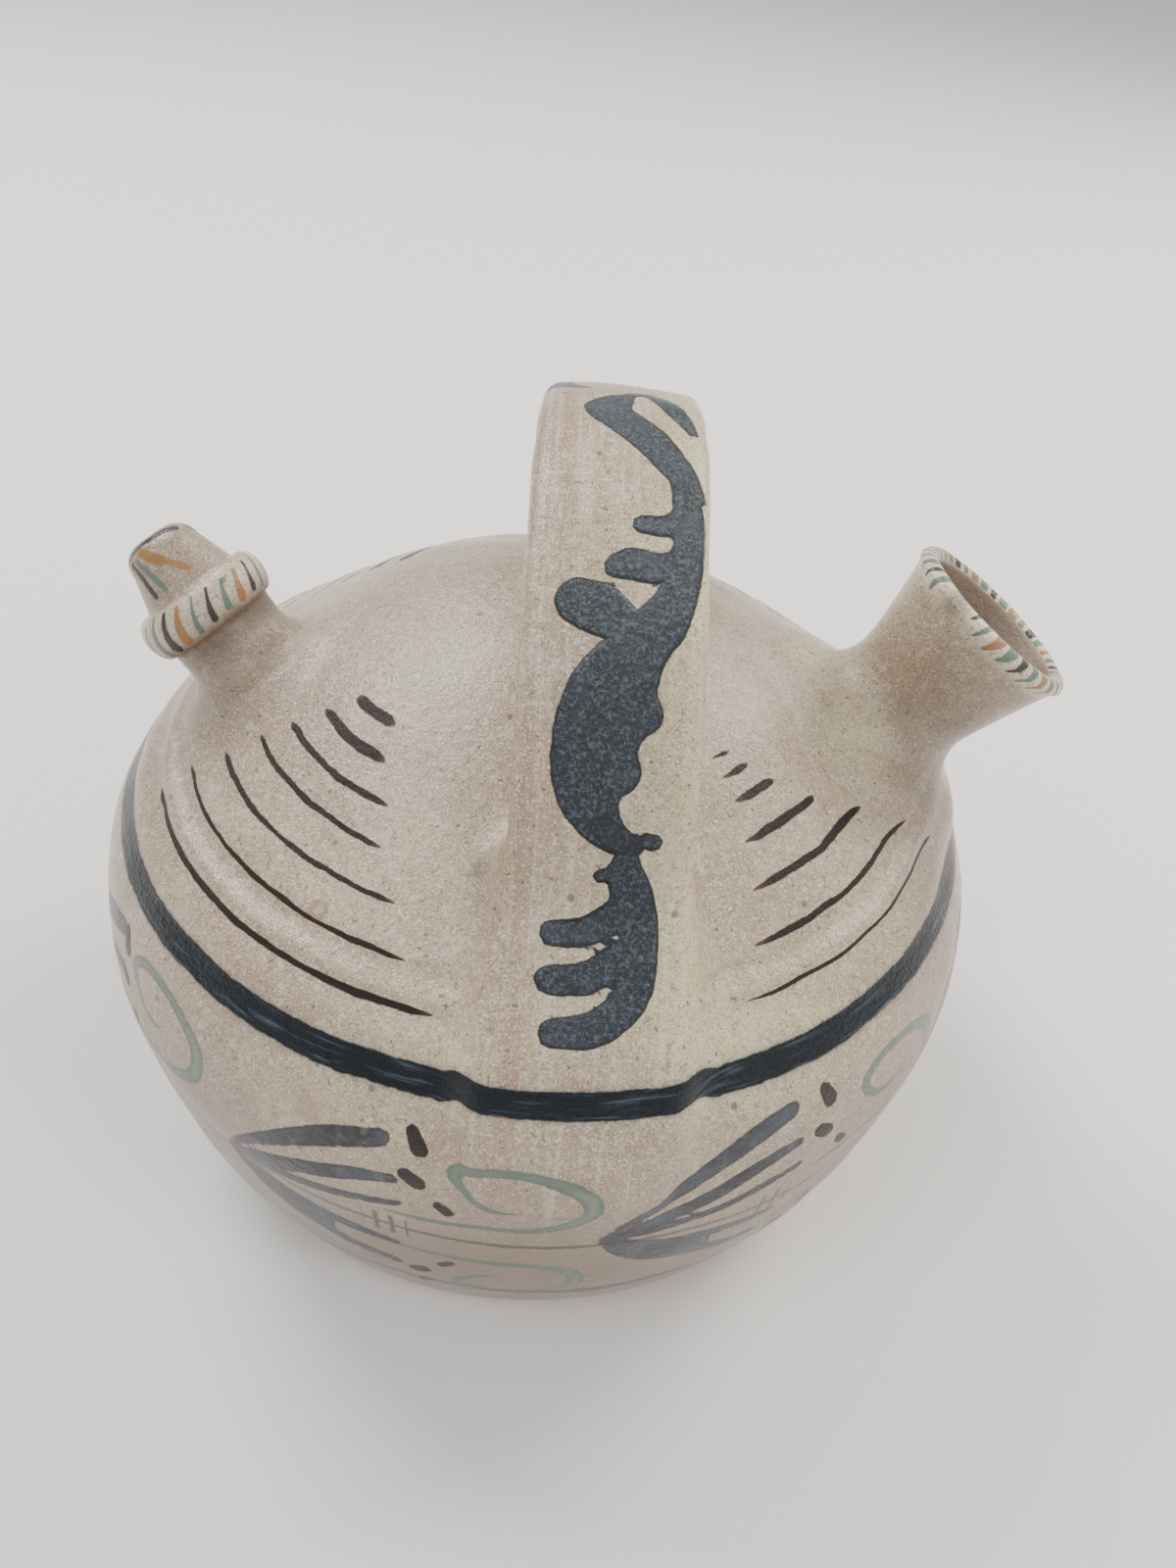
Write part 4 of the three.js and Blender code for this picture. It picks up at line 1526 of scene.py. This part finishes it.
    def fan(self, fan: ArcFan, height: Wire, tremble: Wire) -> tuple[Wire, Wire]:
        """How much brown a fan lays: 1 where the gap to the nearest arc is under its tapered half width.

        Args:
            fan: The arcs.
            height: The height, a little shaken.
            tremble: A noise for the arcs' width.

        Returns:
            The amount, and the taper towards the arcs' ends.
        """
        turn = abs(self.turn)
        colour, alpha = self.ramp((height - fan.low) / fan.span, fan.stops())
        gap, start, end = (Wire(self, part) for part in self.node("SeparateColor", {0: colour}).outputs)
        from_start = self.math("DIVIDE", turn - start * fan.turn_unit, fan.start_taper, clamp=True)
        from_end = self.math("DIVIDE", end * fan.turn_unit - turn, fan.end_taper, clamp=True)
        taper = self.math("SQRT", from_start * from_end)
        width = alpha * fan.width_unit * (taper * (tremble + 0.5))
        return self.step(gap * fan.gap_unit - width, -0.12, 0.06, 1.0, 0.0), taper

    def arcs(self) -> None:
        """Lays the brown arcs on the dome."""
        thick = self.noise(self.point, 0.09, 2.0, 0.5)
        shaken = self.height + (self.mottle - 0.5) * 0.9
        amounts = []
        for fan in (self.tone.right_fan, self.tone.left_fan):
            amount, taper = self.fan(fan, shaken, thick)
            amounts.append(amount * self.skin)
            brown = self.mix(self.step(taper, 0.35, 0.95), self.tone.brown_thin, self.tone.brown)
            self.lay(amounts[-1], brown)
        self.brown = self.most(*amounts)

    def frieze(self) -> None:
        """Lays the green spirals, the washed leaves, and the stem with its ticks."""
        tone, step = self.tone, self.step
        edge = self.attribute("green") + self.wobble * 0.5
        green = self.mix(step(edge, -1.9, -0.2, 0.16, 0.0), tone.green, tone.slip)
        self.lay(step(edge, -0.28, 0.18, 1.0, 0.0) * 0.92, green)
        edge = self.attribute("wash") + self.wobble * 0.8
        self.wash = step(edge, -0.3, 0.2, 1.0, 0.0)
        wash = self.mix(step(self.mottle, 0.34, 0.62), tone.wash_dark, tone.wash)
        wash = self.mix(step(edge, -1.1, -0.25, 0.0, 0.6), wash, tone.wash_dark)
        wash = self.mix(step(self.edge, 0.54, 0.74, 0.0, 0.16), wash, tone.tan)
        self.lay(self.wash * 0.95, wash)
        gap = abs(self.height + (self.broad - 0.5) * tone.stem_sway - tone.stem_line)
        fold = (self.turn + tone.motif_start) % tone.motif_turn
        tick = step(abs(fold % tone.tick_spacing - tone.tick_spacing / 2), 0.18, 0.42, 1.0, 0.0)
        tick = tick * step(abs(fold - tone.tick_turn), 2.6, 2.9, 1.0, 0.0) * step(gap, 3.6, 4.6, 0.9, 0.0)
        self.lay(self.most(step(gap + self.wobble, 0.35, 0.85, 0.85, 0.0), tick) * self.skin, tone.brown)

    def bands(self) -> None:
        """Lays the thin band under the frieze and the broad one over it, which climbs on the strap."""
        tone, step = self.tone, self.step
        foot = abs(self.height - tone.foot_line) - tone.foot_line_half + self.wobble
        self.brushing = self.noise(self.vector(self.turn * 0.10, self.height, 0.0), 1.1, 4.0, 0.65)
        stepped = self.attribute("stepped")
        middle = stepped * tone.band_step + (tone.band_low + tone.band_high) / 2
        half = stepped * tone.band_spread + (tone.band_high - tone.band_low) / 2
        gap = abs(self.height - middle) - half + self.wobble * 0.9
        outer = (1.0 - self.neck) * (1.0 - self.inside)
        self.band = step(gap, -0.15, 0.3, 1.0, 0.0) * outer
        self.lay(step(gap, 0.0, 1.3, 0.35, 0.0) * outer, tone.wash)
        thin = self.mix(step(self.brushing, 0.4, 0.7), tone.wash_dark, tone.wash)
        self.lay(step(foot, -0.2, 0.35, 1.0, 0.0) * self.skin, thin)
        broad = self.mix(step(self.brushing, 0.52, 0.72, 0.0, 0.85), tone.band, tone.band_streak)
        self.lay(self.band, broad)

    def thick_enamel(self) -> None:
        """Lays the wrinkled blue strokes down the strap, with the dark knot over them."""
        tone, step, knot = self.tone, self.step, self.attribute("knot")
        self.enamel_gap = self.attribute("enamel") + self.wobble * 0.7
        self.enamel = step(self.enamel_gap, -0.18, 0.12, 1.0, 0.0)
        self.wrinkle = self.noise(self.point, 1.25, 4.0, 0.66, 0.4)
        blue = self.mix(step(self.wrinkle, 0.46, 0.66), tone.enamel, tone.enamel_light)
        for share, colour in (
            (step(self.grain, 0.58, 0.70, 0.0, 0.45), tone.soil),
            (step(self.mottle, 0.5, 0.75, 0.0, 0.35), tone.enamel_light),
            (step(self.enamel_gap, -0.6, -0.15), tone.enamel_edge),
            (self.most(step(abs(knot), 0.45, 0.1), step(knot, 0.0, -0.6, 0.0, 0.55)), tone.enamel_edge),
        ):
            blue = self.mix(share, blue, colour)
        self.lay(self.enamel, blue)

    def ring(self, neck: Neck, ring: StrokeRing) -> tuple[Wire, Wire]:
        """Short strokes side by side round a neck.

        Round the neck the strokes are folded onto one: across is the angle from the nearest stroke times the
        radius, slanted with the height, and each has its own length and width.

        Args:
            neck: The neck that they go round.
            ring: How many strokes there are and how they lie.

        Returns:
            The distance to the nearest stroke, negative in it, and its number.
        """
        x, y, up = (self.dot(self.point, axis) - float(neck.root @ axis) for axis in neck.turn.T)
        radius = self.math("SQRT", x * x + y * y)
        down = up - ring.middle
        count = ring.count / (2 * math.pi)
        turn = self.math("ARCTAN2", y, x) * count - down * (ring.slant / ring.half_length)
        turn = turn + down * down * ring.bend
        number = self.math("ROUND", turn)
        chance = self.random(number)
        length = (chance * 0.45 + 0.72) * ring.half_length
        width = (self.math("FRACT", chance * 7.31) * 0.6 + 0.65) * ring.half_width
        width = width * (1.0 - down / length * ring.taper)
        across = (turn - number) * (radius / count)
        past = self.most(abs(down) - length, 0.0)
        gap = self.math("SQRT", across * across + past * past) - width + self.wobble * 0.5
        if ring is self.tone.lip_ring:
            middle, top = self.tone.lip_middle_radius, self.tone.lip_top
            within = self.step(radius, middle, middle - 0.4) * self.step(up, top - 1.2, top - 1.6)
            gap = gap + self.most(within, self.attribute("smear")) * 6.0
        far = self.step(radius, ring.reach, ring.reach + 0.5) * 20.0
        low = self.step(up, ring.middle - 7.0, ring.middle - 8.0) * 20.0
        return gap + (far + low), number

    def short_strokes(self) -> None:
        """Lays the strokes on the spout's tip, the lip and the bead, and the frieze's black dots."""
        tones, laid = self.tone.stroke_tones, []
        for paint, start, end, half in self.tone.tip_strokes:
            gap = self.segment(self.point, *(self.spout.on_skin(*place) for place in (start, end)))
            laid.append(self.step(gap + self.wobble * 0.6 - half, -0.2, 0.15, 0.92, 0.0))
            self.lay(laid[-1], tones[paint])
        for neck, ring in ((self.mouth, self.tone.lip_ring), (self.spout, self.tone.bead_ring)):
            gap, number = self.ring(neck, ring)
            laid.append(self.step(gap, -0.25, 0.15, 0.94, 0.0))
            place = self.math("FLOORED_MODULO", number, float(len(ring.colours)))
            for i, paint in enumerate(ring.colours):
                self.lay(laid[-1] * self.math("COMPARE", place, float(i), 0.4), tones[paint])
        self.short = self.most(*laid)
        self.dots = self.step(self.attribute("black") + self.wobble * 0.5, -0.22, 0.12, 0.97, 0.0)
        self.lay(self.dots, self.tone.black)

    def relief(self) -> Wire:
        """The glaze's fine unevenness, and the enamel's thickness, as a normal. Distances are in metres."""
        normal = None
        for height, distance, strength in (
            (self.noise(self.point, 0.75, 3.0, 0.55), 0.0004, 0.6),
            (self.grain, 0.00020, 0.8),
            (self.streak * self.strap, 0.0006, 0.5),
            (self.step(self.enamel_gap, -0.9, 0.1, 1.0, 0.0), 0.0005, 0.9),
            (self.wrinkle * self.enamel, 0.0005, 0.8),
            (self.brushing * self.band, 0.0003, 0.6),
        ):
            normal = self.bump(height, distance, strength, normal)
        return normal

    def make(self) -> bpy.types.Material:
        """Lays every layer in turn and joins them to the shader.

        Dark paints shine less, so that they stay dark.

        Returns:
            The material.
        """
        self.ground()
        self.arcs()
        self.frieze()
        self.bands()
        self.thick_enamel()
        self.short_strokes()
        rough = (self.mottle - 0.5) * 0.30 + self.tone.roughness + self.inside * 0.2
        rough = self.math("SUBTRACT", rough, self.most(self.band, self.enamel) * 0.04, clamp=True)
        thick = self.most(self.enamel, self.short) * 0.66
        dark = self.most(self.band, self.brown, self.dots, self.wash, thick)
        inputs = {
            "Base Color": self.colour,
            "Roughness": rough + self.shade_and_dirt * 0.4 + self.brown * 0.18,
            "Normal": self.relief(),
            "Specular IOR Level": self.step(dark, 0.0, 1.0, 0.72, 0.22),
            "IOR": self.tone.refraction,
        }
        self.node("OutputMaterial", {0: self.wire("BsdfPrincipled", inputs)})
        return self.material


@dataclass
class Studio:
    """A pale floor, soft light and the camera at the photograph's angle. Sizes are in metres."""

    floor_half: float = 8.0
    floor_colour: tuple = (0.80, 0.785, 0.765)
    camera_place: tuple = (0.0011, -0.23118, 0.28008)
    camera_up: tuple = (-0.083, 0.629, 0.773)
    camera_back: tuple = (-0.0281, -0.7768, 0.6291)
    lens: float = 29.25
    sensor: float = 36.0
    lights: tuple = (
        ("window", (-0.95, 0.85, 1.45), 0.75, 31.0, (1.0, 0.98, 0.95)),
        ("lamp", (1.0, 0.75, 1.05), 0.6, 19.0, (1.0, 0.95, 0.87)),
        ("side", (1.0, -0.8, 1.05), 0.45, 9.0, (1.0, 0.98, 0.95)),
        ("fill", (-0.8, -0.8, 1.5), 0.7, 10.0, (0.97, 0.98, 1.0)),
    )
    sky: tuple = (0.95, 0.945, 0.93)
    sky_strength: float = 0.70
    aim: tuple = (0.0, 0.0, 0.08)

    def floor(self) -> bpy.types.Object:
        """A plain pale floor under the jug."""
        half = self.floor_half
        mesh = bpy.data.meshes.new("floor")
        corners = [(-half, -half, 0.0), (half, -half, 0.0), (half, half, 0.0), (-half, half, 0.0)]
        mesh.from_pydata(corners, [], [(0, 1, 2, 3)])
        floor = bpy.data.objects.new("floor", mesh)
        bpy.context.scene.collection.objects.link(floor)
        material = bpy.data.materials.new("pale floor")
        material.use_nodes = True
        shader = material.node_tree.nodes["Principled BSDF"]
        shader.inputs["Base Color"].default_value = (*self.floor_colour, 1.0)
        shader.inputs["Roughness"].default_value = 0.75
        mesh.materials.append(material)
        return floor

    def light(self) -> None:
        """Soft square lamps that look at the jug, and an even pale sky."""
        for name, place, size, power, colour in self.lights:
            lamp = bpy.data.lights.new(name, "AREA")
            lamp.shape = "SQUARE"
            lamp.size = size
            lamp.energy = power
            lamp.color = colour
            item = bpy.data.objects.new(name, lamp)
            item.location = place
            item.rotation_euler = (Vector(self.aim) - Vector(place)).to_track_quat("-Z", "Y").to_euler()
            bpy.context.scene.collection.objects.link(item)
        world = bpy.data.worlds.new("sky")
        world.use_nodes = True
        ground = world.node_tree.nodes["Background"]
        ground.inputs[0].default_value = (*self.sky, 1.0)
        ground.inputs[1].default_value = self.sky_strength
        bpy.context.scene.world = world

    def camera(self) -> None:
        """The camera where the photograph was taken from."""
        data = bpy.data.cameras.new("camera")
        data.sensor_fit = "VERTICAL"
        data.sensor_height = self.sensor
        data.lens = self.lens
        data.clip_start = 0.01
        data.clip_end = 50.0
        camera = bpy.data.objects.new("camera", data)
        back = Vector(self.camera_back).normalized()
        up = Vector(self.camera_up)
        up = (up - back * up.dot(back)).normalized()
        right = up.cross(back)
        turn = Matrix((right, up, back)).transposed().to_4x4()
        camera.matrix_world = Matrix.Translation(self.camera_place) @ turn
        bpy.context.scene.collection.objects.link(camera)
        bpy.context.scene.camera = camera


def main() -> None:
    """Builds the jug, dresses it and sets it in the studio."""
    studio = Studio()
    studio.floor()
    studio.light()
    studio.camera()
    body = ThrownBody()
    mouth = FillingMouth(body)
    spout = DrinkingSpout(body)
    strap = StrapHandle(body)
    jug = WaterJug(body, mouth, spout, strap)
    item = jug.build()
    found = jug.smooth_seams(item.data)
    GlazeFields(jug, Brushwork(body, strap)).write(item.data, found)
    jug.roughen(item.data, found)
    item.data.materials.clear()
    item.data.materials.append(GlazePainter(GlazedClay(), mouth, spout).make())
    item.data.polygons.foreach_set("material_index", np.zeros(len(item.data.polygons), int))
    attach(item, "root")
    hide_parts(*CLAY_NODES)
    log.info("glazed jug: %d points, %d triangles", len(item.data.vertices), len(item.data.polygons))


if __name__ == "__main__":
    main()
